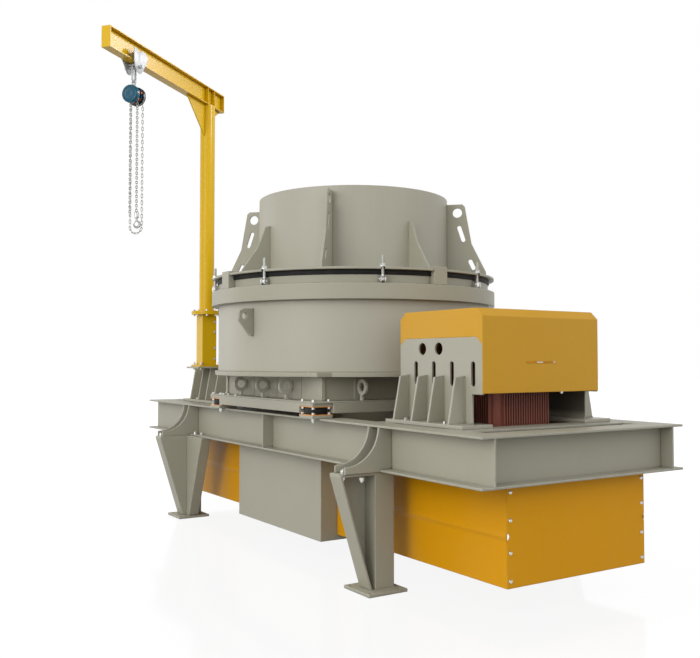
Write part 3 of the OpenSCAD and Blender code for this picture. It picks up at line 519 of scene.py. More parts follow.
def hexHead(flats, head, washer, washerThick, chamfer, stud=0.0):
    # turned profile whose radius follows six flats between the washer and the chamfered crown
    def sixFlats(u, rows):
        flat = 1 / np.cos((u + math.pi / 6) % (math.pi / 3) - math.pi / 6)
        round_ = np.ones_like(u)
        kinds = [round_, round_, flat, flat, round_] + [round_] * (rows - 5)
        return np.stack(kinds)
    half = flats / 2
    profile = [(washer, 0), (washer, washerThick), (half, washerThick), (half, washerThick + head * 0.86),
               (half * chamfer, washerThick + head)]
    if stud:
        top = washerThick + head
        profile += [(stud, top), (stud, top + stud * 0.9), (stud * 0.75, top + stud * 1.1)]
    return turned(profile, 12, facet=sixFlats)


def roundHead(radius, height):
    # dome of a pan head: r = R cos t, z = H sin t
    t = np.linspace(0, 1.45, 5)
    return turned(np.stack([radius * np.cos(t), height * np.sin(t)], 1), 12)


def boltsAt(places, axis, shape):
    # each bolt turned a little differently, by the golden angle
    places = np.atleast_2d(places)
    spin = np.arange(len(places)) * 2.39996
    return stamped(shape, places, axesTo(np.broadcast_to(np.asarray(axis, float), places.shape), spin))


both = np.array([-1, 1])
bigBolt = hexHead(**boltLook, stud=0.008)
nut = hexHead(flats=0.025, head=0.013, washer=0.016, washerThick=0.003, chamfer=0.9)
smallBolt = hexHead(flats=0.019, head=0.012, washer=0.013, washerThick=0.0025, chamfer=0.9)
longBolt = hexHead(flats=0.029, head=0.021, washer=0.019, washerThick=0.004, chamfer=0.92, stud=0.007)
up, down = (0, 0, 1), (0, 0, -1)

mountX = np.concatenate([both * 0.731, both * 0.888])
outerY, innerY = both * 0.923, both * 0.791
mountBolts = [
    boltsAt(everyMix(mountX, outerY, [deckTop]), up, nut),
    boltsAt(everyMix(both * 0.888, innerY, [deckTop]), up, nut),
    boltsAt(everyMix(mountX, np.concatenate([outerY, innerY]), [mountHigh]), down, nut),
    boltsAt(everyMix(mountX, np.concatenate([outerY, innerY]), [mountLow]), up, nut),
    boltsAt(everyMix([-0.731, 0.888], outerY, [beamTop]), down, longBolt),
    boltsAt(everyMix([-0.674, -0.571, -0.429], outerY, [deckTop]), up, smallBolt)]
addPiece("mount_bolts", mountBolts, "plated_steel", "machine")

footX = np.array([1.596, 2.010])
footBolts = [boltsAt(everyMix(np.concatenate([footX, -footX]), both * 0.612, [beamTop + 0.025]), up, smallBolt)]
addPiece("cradle_bolts", footBolts, "plated_steel", "machine")

# leg tops: through the beam's lower flange, and through the outer arm between the bracket's plates
legBolts = [
    boltsAt(everyMix(both * 1.435, both * 0.873, [beamFoot + 0.014]), up, longBolt),
    boltsAt(everyMix(both * 1.365, both * 0.838, [beamFoot + 0.014]), up, bigBolt),
    boltsAt(everyMix(both * 1.435, both * 0.873, [beamFoot - 0.020]), down, longBolt),
    boltsAt(everyMix(both * 1.634, np.array([-1.140, -0.965, 0.965, 1.140]), [beamFoot]), up, longBolt),
    boltsAt(everyMix(both * 1.634, both * 1.140, [beamFoot - 0.020]), down, bigBolt),
    boltsAt(everyMix(both * 1.722, both * 1.055, [beamFoot - 0.020]), down, longBolt)]
addPiece("leg_bolts", legBolts, "plated_steel", "machine")

guardBolts = [boltsAt(everyMix([s * 2.573], both * 0.580, [0.738, 0.575, 0.385, 0.222]), (s, 0, 0),
                      roundHead(0.013, 0.010)) for s in (-1, 1)]
addPiece("guard_bolts", guardBolts, "plated_steel", "machine")
print("frame bolts placed")


# rubber mounts and the seal under the hopper

rubberLook = {"halfX": 0.086, "halfY": 0.0735, "bulge": 0.07, "corner": 3.0}


def rubberBlock(look, z0, z1):
    # superellipse |x/a|^n + |y/b|^n = 1, swelling by 1 + bulge sin(pi t) at height t
    u = np.arange(40) * 2 * math.pi / 40
    n = 2 / look["corner"]
    x = look["halfX"] * np.sign(np.cos(u)) * np.abs(np.cos(u)) ** n
    y = look["halfY"] * np.sign(np.sin(u)) * np.abs(np.sin(u)) ** n
    t = np.linspace(0, 1, 9)
    swell = 1 - look["bulge"] + look["bulge"] * np.sin(math.pi * t) + 0.02 * np.cos(2 * math.pi * t * 2)
    points = np.stack([x[None] * swell[:, None], y[None] * swell[:, None],
                       np.repeat((z0 + (z1 - z0) * t)[:, None], 40, 1)], -1).reshape(-1, 3)
    return {"points": points, "quads": quadGrid(9, 40), "caps": [list(range(40))[::-1], list(range(320, 360))]}


block = rubberBlock(rubberLook, mountLow, mountHigh)
blocks = stamped(block, everyMix(both * 0.815, both * 0.8595, [0.0]), np.eye(3))
addPiece("rubber_blocks", [blocks], "black_rubber", "machine", standsFor=("mount_rubbers",))

sealMid = (sealLow + sealHigh) / 2
sealHalf = (sealHigh - sealLow) / 2
t = np.arange(24) * 2 * math.pi / 24
# two soft lips: the outer radius follows |cos| of the height angle, with a groove half way up
sealOut = 1.166 + 0.012 * np.sqrt(np.abs(np.cos(t))) * np.sign(np.cos(t)) - 0.004 * np.exp(-(np.sin(t) / 0.25) ** 2) * (np.cos(t) > 0)
sealProfile = np.stack([np.where(np.cos(t) > 0, sealOut, 1.150), sealMid + sealHalf * np.sin(t)], 1)
sealProfile[np.cos(t) <= 0, 1] = np.clip(sealProfile[np.cos(t) <= 0, 1], sealLow, sealHigh)
addPiece("seal_ring", [turned(sealProfile, 160, loop=True)], "black_rubber", "machine", standsFor=("lid_seal",))


# swing bolts round the hopper plate

clampLook = {"radius": 1.197, "rod": 0.012, "pitch": 0.0035, "thread": 0.0011, "eye": 0.022}
clampAngles = np.arange(8) * 45 + 22.5


def threadedRod(radius, z0, z1, pitch, depth, sides=14):
    # r = R - depth (1 + cos(2 pi z / pitch - u)) / 2, a helix of rounded threads
    z = np.arange(z0, z1, pitch / 3)
    u = np.arange(sides) * 2 * math.pi / sides
    r = radius - depth * (1 + np.cos(2 * math.pi * z[:, None] / pitch - u[None])) / 2
    points = np.stack([r * np.cos(u), r * np.sin(u), np.repeat(z[:, None], sides, 1)], -1).reshape(-1, 3)
    n = len(z)
    return {"points": points, "quads": quadGrid(n, sides),
            "caps": [list(range(sides))[::-1], list(range((n - 1) * sides, n * sides))]}


eyeZ = ringLow + 0.030
sideways = axesTo([[0, 1, 0]])[0]
swingParts = [
    threadedRod(clampLook["rod"], lidTop - 0.06, ringLow + 0.210, clampLook["pitch"], clampLook["thread"]),
    turned([(0.0115, eyeZ), (0.0115, lidTop - 0.058)], 16)]
eyeRing = turned([(0.008, -0.009), (0.022, -0.009), (0.023, -0.006), (0.023, 0.006), (0.022, 0.009), (0.008, 0.009)],
                 24, loop=True)
swingParts.append(stamped(eyeRing, [[0, 0, eyeZ]], sideways))
cheek = slab(smoothCurve([(-0.031, -0.028), (0.012, -0.028), (0.024, -0.012), (0.024, 0.012), (0.012, 0.027), (-0.031, 0.027)],
                         5, closed=True), 0.010, 0.0015)
cheekAxes = np.array([[1, 0, 0], [0, 0, -1], [0, 1, 0]], float)
swingParts.append(stamped(cheek, [[0, 0.021, eyeZ], [0, -0.011, eyeZ]], cheekAxes))
swingParts.append(stamped(turned([(0.009, -0.028), (0.009, 0.028)], 16), [[0, 0, eyeZ]], sideways))
swingParts.append(stamped(roundHead(0.014, 0.006), [[0, 0.025, eyeZ], [0, -0.025, eyeZ]],
                          axesTo([[0, 1, 0], [0, -1, 0]])))
swingNut = hexHead(flats=0.038, head=0.022, washer=0.029, washerThick=0.005, chamfer=0.92)
swingParts.append(stamped(swingNut, [[0, 0, lidTop]], np.eye(3)))
clampTurns = np.radians(clampAngles)
c, s = np.cos(clampTurns), np.sin(clampTurns)
clampAxes = np.stack([np.stack([c, -s, 0 * c], 1), np.stack([s, c, 0 * c], 1), np.stack([0 * c, 0 * c, 0 * c + 1], 1)], 1)
clamps = [stamped(part, around(clampLook["radius"], clampAngles, 0.0), clampAxes) for part in swingParts]
addPiece("swing_clamps", clamps, "plated_steel", "machine", standsFor=("swing_bolts",))
print("mounts, seal and swing bolts placed")


# weld seams

seamLook = {"size": 0.006, "ripple": 0.16, "step": 0.011}


def seam(path, look=seamLook, upWay=(0, 0, 1), closed=False):
    # a half-round bead along the path whose size swells by 1 + ripple |sin| at each step of the weld
    path = np.asarray(path, float)
    length = np.concatenate([[0], np.cumsum(np.linalg.norm(np.diff(path, axis=0), axis=1))])
    count = max(6, int(length[-1] / (look["step"] / 2.5)))
    s = np.linspace(0, length[-1], count, endpoint=not closed)
    fine = np.stack([np.interp(s, length, path[:, k]) for k in range(3)], 1)
    scale = 1 - look["ripple"] / 2 + look["ripple"] * np.abs(np.sin(math.pi * s / look["step"]))
    return carried(fine, roundSection(look["size"], 6), upWay, scale, closed)


def ringPath(radius, z, sides=180):
    a = np.arange(sides + 1) * 2 * math.pi / sides
    return np.stack([radius * np.cos(a), radius * np.sin(a), np.full(sides + 1, z)], 1)


wideStep = {"size": 0.007, "ripple": 0.14, "step": 0.030}
drumSeams = [seam(ringPath(shellRadius + 0.001, shellFoot + 0.001), wideStep, closed=True),
             seam(ringPath(shellRadius + 0.001, bandLow - 0.001), wideStep, closed=True),
             seam(ringPath(shellRadius + 0.001, bandHigh + 0.001), wideStep, closed=True),
             seam(ringPath(hopperRadius + 0.001, lidTop + 0.001), wideStep, closed=True)]
addPiece("drum_seams", drumSeams, "frame_paint", "machine", weldFinish, sharpAngle=80)

gussetSeams = []
for angle, height, foot in [(a, 0.62, 0.33) for a in (45, 135, 225, 315)] + [(a, 0.40, 0.255) for a in (0, 90, 180, 270)]:
    a = math.radians(angle)
    out, cross = np.array([math.cos(a), math.sin(a), 0]), np.array([-math.sin(a), math.cos(a), 0])
    for side in (-0.009, 0.009):
        root = out * (hopperRadius + 0.001) + cross * side
        gussetSeams.append(seam([root + [0, 0, lidTop], root + [0, 0, lidTop + height]], upWay=out))
        gussetSeams.append(seam([root + [0, 0, lidTop + 0.001], root + out * foot + [0, 0, lidTop + 0.001]]))
addPiece("gusset_seams", gussetSeams, "frame_paint", "machine", weldFinish, sharpAngle=80)

cradleSeams = []
for end, height in ((1, 0.29), (-1, 0.31)):
    for side in (-1, 1):
        for x in (1.511, 1.712, 1.888, 2.097):
            for off in (-0.0085, 0.0085):
                foot = np.array([end * x + off, side * 0.5215, beamTop + 0.026])
                cradleSeams.append(seam([foot, foot + [0, 0, height]], upWay=(0, side, 0)))
                cradleSeams.append(seam([foot, foot + [0, side * 0.132, 0]]))
        left, right = (1.414, 2.169) if end > 0 else (-2.125, -1.475)
        cradleSeams.append(seam([(left, side * 0.522, beamTop + 0.026), (right, side * 0.522, beamTop + 0.026)]))
addPiece("cradle_seams", cradleSeams, "frame_paint", "machine", weldFinish, sharpAngle=80)

def stripAlong(path, width, upWay):
    # a flat strip of the width, 1 mm thick, lying in the joint
    h = width / 2
    return carried(path, [(-h, 0), (h, 0), (h, 0.001), (-h, 0.001)], upWay)


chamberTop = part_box("chamber")[1].z - 0.002
# dark strips in the chamber's panel joints: partly sealant, partly painted shade for the joints' shadow lines
joints = []
for side in (-1, 1):
    for x in (-0.275, 0.130, 0.530):
        joints.append(stripAlong([(x, side * 0.816, deckTop + 0.002), (x, side * 0.816, chamberTop)], 0.009, (0, side, 0)))
addPiece("chamber_joint_shade_strips", joints, "black_rubber", "machine")
print("seams laid")


# crane: everything on the boom is drawn along, across and up from the post

boomLook = {"turn": -51.5, "postX": -1.790, "postY": -0.610, "trolley": 1.350, "hoistDrop": 0.285}
turn = math.radians(boomLook["turn"])
along = np.array([math.cos(turn), math.sin(turn), 0])
across = np.array([-math.sin(turn), math.cos(turn), 0])
boomAxes = np.stack([along, across, np.array([0, 0, 1.0])], 1)
postFoot = np.array([boomLook["postX"], boomLook["postY"], 0.0])
trolleyPlace = postFoot + along * boomLook["trolley"] + [0, 0, boomFoot]
hoistPlace = trolleyPlace - [0, 0, boomLook["hoistDrop"]]
alongAxis = np.stack([boomAxes[:, 1], boomAxes[:, 2], boomAxes[:, 0]], 1)   # a turned shape laid along the boom
acrossAxis = np.stack([boomAxes[:, 2], boomAxes[:, 0], boomAxes[:, 1]], 1)   # and laid across it


def onBoom(shape, x=0.0, y=0.0, z=0.0, start=None, axes=None):
    start = hoistPlace if start is None else start
    place = start + boomAxes @ np.array([x, y, z])
    return stamped(shape, [place], boomAxes if axes is None else axes)


flangeAngles = np.arange(8) * 45 + 22.5
flangeRing = around(0.122, flangeAngles, 0.0) + postFoot
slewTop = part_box("jib_post")[0].z + 0.018
addPiece("jib_flange_bolts", [boltsAt(flangeRing + [0, 0, slewTop], up, smallBolt)], "plated_steel", "jib")
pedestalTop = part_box("crane_column")[0].z
postCorners = everyMix(both * 0.092, both * 0.092, [0.0]) + postFoot
columnBolts = [boltsAt(flangeRing + [0, 0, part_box("crane_column")[1].z - 0.018], down, smallBolt),
               boltsAt(postCorners + [0, 0, pedestalTop + 0.020], up, bigBolt),
               boltsAt(postCorners + [0, 0, pedestalTop - 0.015], down, nut),
               boltsAt(everyMix([boomLook["postX"] + 0.075], [boomLook["postY"] + 0.056], [1.52, 1.63, 1.79, 1.89]),
                       (1, 0, 0), smallBolt)]
addPiece("column_bolts", columnBolts, "plated_steel", "machine")

trolleyLook = {"plateGap": 0.049, "plate": 0.007, "wheel": 0.030, "flange": 0.036, "wheelX": 0.055, "bar": 0.0125,
               "barDrop": 0.040}
heart = smoothCurve([(0, 0.086), (0.036, 0.112), (0.078, 0.110), (0.104, 0.070), (0.096, 0.014), (0.066, -0.046),
                     (0.030, -0.090), (0, -0.098), (-0.030, -0.090), (-0.066, -0.046), (-0.096, 0.014),
                     (-0.104, 0.070), (-0.078, 0.110), (-0.036, 0.112)], 5, closed=True)[::-1]
plateShape = slab(heart, trolleyLook["plate"], 0.002)
# the plate's outer ring is bent outwards: depth grows with the distance from its middle
bend = np.clip((np.abs(plateShape["points"][:, 0]) - 0.060) / 0.045, 0, 1) ** 2 * 0.016
plateShape["points"][:, 2] += bend
standing = np.stack([boomAxes[:, 0], boomAxes[:, 2], -boomAxes[:, 1]], 1)
farSide = np.stack([-boomAxes[:, 0], boomAxes[:, 2], boomAxes[:, 1]], 1)
wheelProfile = [(0.010, 0), (trolleyLook["wheel"], 0), (trolleyLook["wheel"], 0.024), (trolleyLook["flange"], 0.027),
                (trolleyLook["flange"], 0.032), (0.026, 0.034), (0.012, 0.034)]
wheelShape = turned(wheelProfile, 32)
trolleyParts, wheelParts = [], []
wheelZ = 0.0393
for side, axes in ((-1, standing), (1, farSide)):
    trolleyParts.append(onBoom(plateShape, y=side * trolleyLook["plateGap"], start=trolleyPlace, axes=axes))
    for x in (-trolleyLook["wheelX"], trolleyLook["wheelX"]):
        wheelAxes = acrossAxis if side > 0 else np.stack([boomAxes[:, 0], boomAxes[:, 2], -boomAxes[:, 1]], 1)
        wheelParts.append(onBoom(wheelShape, x, side * 0.015, wheelZ, trolleyPlace, wheelAxes))
bar = turned([(0.0135, -0.088), (0.0150, -0.086), (0.0150, -0.060), (0.0115, -0.058), (0.0115, -0.016), (0.0155, -0.015),
              (0.0155, 0.015), (0.0115, 0.016), (0.0115, 0.058), (0.0150, 0.060), (0.0150, 0.086), (0.0135, 0.088)], 20)
trolleyParts.append(onBoom(bar, 0, 0, -trolleyLook["barDrop"], trolleyPlace, acrossAxis))
spacer = turned([(0.006, -0.050), (0.006, 0.050)], 14)
for x in (-0.022, 0.022):
    trolleyParts.append(onBoom(spacer, x, 0, -0.022, trolleyPlace, acrossAxis))
addPiece("trolley_plates", trolleyParts, "plated_steel", "trolley", zincPlate, standsFor=("trolley",))
addPiece("trolley_wheels", wheelParts, "plated_steel", "trolley", chainSteel)

# shackle: a flat-sided loop round the bar, then a swivel eye into the hoist
shackle = smoothCurve([(0.022, 0.014), (0.015, 0.026), (0, 0.031), (-0.015, 0.026), (-0.022, 0.014), (-0.024, -0.040),
                       (-0.024, -0.098), (-0.017, -0.118), (0, -0.125), (0.017, -0.118), (0.024, -0.098),
                       (0.024, -0.040)], 4, closed=True)
shackle = np.stack([shackle[:, 0], 0 * shackle[:, 0], shackle[:, 1]], 1)
shackle = carried(shackle, roundSection(0.0085, 10, 1.3), (0, 1, 0), closed=True)
hoistDropToBar = boomLook["hoistDrop"] - trolleyLook["barDrop"]
yoke = turned([(0.010, 0.062), (0.022, 0.064), (0.024, 0.078), (0.018, 0.088), (0.010, 0.094), (0.009, 0.104)], 24)
eyeAngle = np.arange(24) * 2 * math.pi / 24
swivelEye = np.stack([0 * eyeAngle, 0.018 * np.cos(eyeAngle), 0.018 * np.sin(eyeAngle)], 1)
swivelEye = carried(swivelEye, roundSection(0.0065, 10), (1, 0, 0), closed=True)
yokeParts = [onBoom(shackle, 0, 0, hoistDropToBar), onBoom(yoke), onBoom(swivelEye, 0, 0, 0.112)]
addPiece("hoist_shackle", yokeParts, "plated_steel", "hoist", zincPlate)

# hoist body: dished cover, two cheeks with spacers, chain wheel and the hand wheel's cover
coverProfile = [(0.058, 0.020), (0.074, 0.021), (0.078, 0.026), (0.078, 0.058), (0.076, 0.066), (0.071, 0.071),
                (0.063, 0.073), (0.057, 0.071), (0.053, 0.066), (0.050, 0.0655), (0.020, 0.066), (0.002, 0.067)]
cheekProfile = [(0.030, 0.0), (0.064, 0.0), (0.066, 0.002), (0.066, 0.005), (0.064, 0.007), (0.030, 0.007)]
hubProfile = [(0.016, -0.032), (0.046, -0.030), (0.046, -0.010), (0.040, -0.004), (0.016, -0.002)]
teal = [onBoom(turned(coverProfile, 64), axes=alongAxis), onBoom(turned(cheekProfile, 48), x=0.013, axes=alongAxis),
        onBoom(turned(cheekProfile, 48), x=-0.032, axes=alongAxis)]
hoistBlock = slab(smoothCurve([(-0.028, -0.010), (0.028, -0.010), (0.030, 0.030), (0.020, 0.048), (-0.020, 0.048),
                               (-0.030, 0.030)], 4, closed=True), 0.044, 0.003)
blockAxes = np.stack([boomAxes[:, 1], boomAxes[:, 2], boomAxes[:, 0]], 1)
teal.append(onBoom(hoistBlock, x=-0.028, z=0.030, axes=blockAxes))
addPiece("hoist_body", teal, "hoist_paint", "hoist", standsFor=("hoist",))
wheelCover = [(0.020, -0.071), (0.060, -0.070), (0.064, -0.066), (0.074, -0.064), (0.076, -0.060), (0.076, -0.040),
              (0.074, -0.036), (0.060, -0.034), (0.030, -0.032)]
addPiece("hand_wheel_cover", [onBoom(turned(wheelCover, 64), axes=alongAxis)], "hoist_paint", "hoist", darkGloss)
rimBand = [(0.075, -0.0058), (0.081, -0.0058), (0.082, -0.004), (0.082, 0.004), (0.081, 0.0058), (0.075, 0.0058)]
rims = [onBoom(turned(rimBand, 64, loop=True), x=x, axes=alongAxis) for x in (-0.0605, -0.0395)]
addPiece("hand_wheel_rims", rims, "black_rubber", "hoist", darkGloss)
middleBand = [(0.070, -0.0052), (0.078, -0.0052), (0.079, 0), (0.078, 0.0052), (0.070, 0.0052)]
sheave = turned([(0.012, -0.024), (0.030, -0.024), (0.031, -0.020), (0.024, -0.009), (0.024, -0.001), (0.031, 0.010),
                 (0.030, 0.013), (0.012, 0.013)], 40)
addPiece("hoist_wheels", [onBoom(turned(middleBand, 64, loop=True), x=-0.050, axes=alongAxis),
                          onBoom(sheave, axes=alongAxis)], "plated_steel", "hoist")
fixing = hexHead(flats=0.010, head=0.006, washer=0.0065, washerThick=0.001, chamfer=0.9)
stay = turned([(0.0055, -0.028), (0.0055, 0.016)], 12)
fixings = []
coverPin = roundHead(0.0042, 0.003)
for angle in (67, 205, 325):
    a = math.radians(angle)
    fixings.append(onBoom(coverPin, 0.072, 0.065 * math.cos(a), 0.065 * math.sin(a), axes=alongAxis))
squareHead = slab(np.array([(-1, -1), (1, -1), (1, 1), (-1, 1)]) * 0.0075, 0.010, 0.0012)
for angle in (20, 160, 215, 270, 325):
    a = math.radians(angle)
    fixings.append(onBoom(stay, 0.0, 0.056 * math.cos(a), 0.056 * math.sin(a), axes=alongAxis))
    fixings.append(onBoom(squareHead, 0.008, 0.064 * math.cos(a), 0.064 * math.sin(a), axes=alongAxis))
    fixings.append(onBoom(squareHead, -0.026, 0.064 * math.cos(a), 0.064 * math.sin(a), axes=alongAxis))
addPiece("hoist_fixings", fixings, "plated_steel", "hoist", brassSteel)

# chains
loadLook = {"pitch": 0.0203, "wire": 0.0031, "width": 0.0225, "side": 0.0353, "length": 1.020, "tail": 1.047}
handLook = {"pitch": 0.0295, "wire": 0.0026, "width": 0.0205, "side": 0.059, "length": 1.145}


def chainLink(look):
    # round wire along a stadium: x = w cos f, y = w sin f + a sign(sin f)
    f = (np.arange(16) + 0.5) * math.pi / 8
    w = (look["width"] - 2 * look["wire"]) / 2
    a = (look["pitch"] + 2 * look["wire"]) / 2 - w
    path = np.stack([w * np.cos(f), w * np.sin(f) + a * np.sign(np.sin(f)), 0 * f], 1)
    return carried(path, roundSection(look["wire"], 6), (0, 0, 1), closed=True)


def strungLinks(look, center, way, flat):
    # links along the path, every other one turned a quarter about the path's direction
    way = way / np.linalg.norm(way, axis=1, keepdims=True)
    flat = np.broadcast_to(flat, way.shape)
    even = (np.arange(len(center)) % 2 == 0)[:, None]
    normal = np.where(even, flat, np.cross(way, flat))
    frames = np.stack([np.cross(way, normal), way, normal], -1)
    return stamped(chainLink(look), center, frames)


def loadPath(look):
    # up the hook strand, half round the chain wheel, and down to the loose end
    r = look["side"] - 0.002
    total = look["length"] + math.pi * r + look["tail"]
    s = np.arange(look["pitch"] / 2, total, look["pitch"])
    turnPart = (s - look["length"]) / r
    onWheel = (turnPart > 0) & (turnPart < math.pi)
    y = np.where(turnPart <= 0, r, np.where(onWheel, r * np.cos(turnPart), -r))
    z = np.where(turnPart <= 0, s - look["length"], np.where(onWheel, r * np.sin(turnPart), (math.pi - turnPart) * r))
    wayY = np.where(onWheel, -np.sin(turnPart), 0.0)
    wayZ = np.where(turnPart <= 0, 1.0, np.where(onWheel, np.cos(turnPart), -1.0))
    return y, z, wayY, wayZ


def handPath(look, low):
    # down one side, half round the bottom with a slightly pointed bow, and up the other
    r = look["side"]
    drop = look["length"] - low
    total = 2 * drop + math.pi * r
    s = np.arange(look["pitch"] / 2, total, look["pitch"])
    turnPart = (s - drop) / r
    onBow = (turnPart > 0) & (turnPart < math.pi)
    y = np.where(turnPart <= 0, -r, np.where(onBow, -r * np.cos(turnPart), r))
    z = np.where(turnPart <= 0, -low - s, np.where(onBow, -look["length"] - 0.96 * r * np.sin(turnPart),
                                                   -look["length"] + (turnPart - math.pi) * r))
    wayY = np.where(onBow, np.sin(turnPart), 0.0)
    wayZ = np.where(turnPart <= 0, -1.0, np.where(onBow, -np.cos(turnPart), 1.0))
    return y, z, wayY, wayZ


def chainAt(look, parts, x):
    y, z, wayY, wayZ = parts
    center = hoistPlace + np.outer(y, across) + np.outer(z, [0, 0, 1]) + along * x
    way = np.outer(wayY, across) + np.outer(wayZ, [0, 0, 1])
    flat = 0.7071 * along[None] + 0.7071 * np.cross(way, along)
    return strungLinks(look, center, way, flat)


addPiece("load_links", [chainAt(loadLook, loadPath(loadLook), -0.005)], "plated_steel", "hoist", chainSteel,
         standsFor=("load_chain",))
addPiece("hand_links", [chainAt(handLook, handPath(handLook, 0.050), -0.050)], "plated_steel", "hoist", chainSteel,
         standsFor=("hand_chain",))

# swivel block and hook
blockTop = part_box("hook_block")[1].z
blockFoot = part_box("hook_block")[0].z
hookPlace = hoistPlace + boomAxes @ np.array([-0.005, 0.0353, 0.0])
hookPlace[2] = blockFoot
swivel = turned([(0.008, -0.002), (0.014, 0.0), (0.019, 0.006), (0.021, 0.014), (0.0205, 0.028), (0.0175, 0.030),
                 (0.0175, 0.033), (0.021, 0.035), (0.021, 0.048), (0.018, 0.055), (0.012, 0.060), (0.006, 0.061)], 32)
pinHead = roundHead(0.007, 0.004)
blockParts = [onBoom(swivel, start=hookPlace),
              onBoom(pinHead, 0, 0.019, 0.044, hookPlace, acrossAxis), onBoom(pinHead, 0, -0.019, 0.044, hookPlace, standing)]
addPiece("swivel_block", blockParts, "plated_steel", "hoist", standsFor=("hook_block",))
hookKnots = np.array([(0, 0.004), (0, -0.012), (0.008, -0.024), (0.023, -0.034), (0.032, -0.051), (0.026, -0.069),
                      (0.006, -0.078), (-0.014, -0.073), (-0.025, -0.059), (-0.029, -0.045)])
hookSizes = np.array([7.5, 7.5, 7.8, 9, 10.5, 11.5, 10.5, 8.5, 6.5, 3.5]) / 1000
hookCurve = smoothCurve(np.concatenate([hookKnots, hookSizes[:, None]], 1), 6)
hookPath = np.stack([0 * hookCurve[:, 0], hookCurve[:, 0], hookCurve[:, 1]], 1)
hook = carried(hookPath, roundSection(1.0, 14, 0.8), (1, 0, 0), hookCurve[:, 2])
latch = slab(smoothCurve([(-0.004, 0.0), (0.004, 0.0), (0.005, -0.020), (0.003, -0.042), (-0.003, -0.042), (-0.005, -0.020)],
                         4, closed=True)[::-1], 0.002, 0.0005)
latchTilt = math.radians(-38)
latchAxes = boomAxes @ np.array([[1, 0, 0], [0, math.sin(latchTilt) * -1, math.cos(latchTilt)],
                                 [0, math.cos(latchTilt), math.sin(latchTilt)]], float)
hookParts = [onBoom(hook, start=hookPlace), onBoom(latch, 0, -0.002, -0.014, hookPlace, latchAxes)]
addPiece("swivel_hook", hookParts, "plated_steel", "hook", chainSteel, standsFor=("load_hook",))
print("crane dressed")


# the motor's cast corners and the fins that run up beside them

motorLow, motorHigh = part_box("motor")
cornerLook = {"core": 0.246, "old": 0.158, "flat": 0.212, "edge": 0.0012, "foot": 0.025,
              "fin": 0.004, "finOut": 0.276, "finTop": 0.035, "fins": (0.176, 0.198)}


def motorCorners(look):
    # one corner post and its fins, drawn at the +X +Y corner, then turned about the motor's axis four times
    a, b, c = look["core"], look["old"], look["flat"]
    high = motorHigh.z - motorLow.z - look["foot"]
    post = slab([(a - 0.006, b - 0.008), (a, b), (a, c), (c, a), (b, a), (b - 0.008, a - 0.006)], high, look["edge"])
    half, out, tall = look["fin"], look["finOut"], high - look["finTop"]
    fins = [slab([(a - 0.006, y - half), (out, y - half), (out, y + half), (a - 0.006, y + half)], tall, look["edge"])
            for side in look["fins"] for y in (side, -side)]
    centre = [(motorLow.x + motorHigh.x) / 2, 0, motorLow.z + look["foot"]]
    turns = axesTo(np.tile([0.0, 0.0, 1.0], (4, 1)), np.arange(4) * math.pi / 2)
    return [stamped(shape, [centre] * 4, turns) for shape in [post] + fins]


addPiece("motor_corners", motorCorners(cornerLook), "motor_paint", "machine")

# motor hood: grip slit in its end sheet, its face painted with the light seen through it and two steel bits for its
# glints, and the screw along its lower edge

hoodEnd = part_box("motor_hood")[1].x
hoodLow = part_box("motor_hood")[0].z
gripLook = {"y0": -0.143, "y1": 0.108, "z": 1.495, "half": 0.0045}


def slitOutline(look):
    # a long slot with round ends: a stadium of half height h
    t = np.linspace(-math.pi / 2, math.pi / 2, 9)
    right = np.stack([look["y1"] + look["half"] * np.cos(t), look["z"] + look["half"] * np.sin(t)], 1)
    left = np.stack([look["y0"] - look["half"] * np.cos(t), look["z"] - look["half"] * np.sin(t)], 1)
    return np.concatenate([right, left])


outline = slitOutline(gripLook)
outwards = np.array([[0, 0, 1], [1, 0, 0], [0, 1, 0]], float)
# the slit's face: orange, a painted light standing in for light seen through the slot
litSlitFace = stamped(slab(outline, 0.002, 0.0005), [[hoodEnd - 0.0012, 0, 0]], outwards)
addPiece("grip_slit_lit", [litSlitFace], "shim_paint", "machine")
# two bright steel bits in the slit: painted glints
glintLook = {"half": gripLook["half"] * 0.9, "z": gripLook["z"]}
glintBits = [stamped(slab(slitOutline({**glintLook, "y0": y0, "y1": y1}), 0.003, 0.0005), [[hoodEnd - 0.0012, 0, 0]], outwards)
           for y0, y1 in ((-0.052, -0.006), (0.096, 0.106))]
addPiece("grip_glints", glintBits, "plated_steel", "machine")
lip = carried(np.stack([np.full(len(outline), hoodEnd + 0.0005), outline[:, 0], outline[:, 1]], 1),
              roundSection(0.0020, 8), (1, 0, 0), closed=True)
addPiece("grip_lip", [lip], "guard_paint", "machine")
hoodScrews = [boltsAt([[hoodEnd - 0.010, 0.175, hoodLow + 0.001]], down, smallBolt)]
addPiece("hood_screws", hoodScrews, "plated_steel", "machine")
print("hood dressed")


# floor, lights and camera

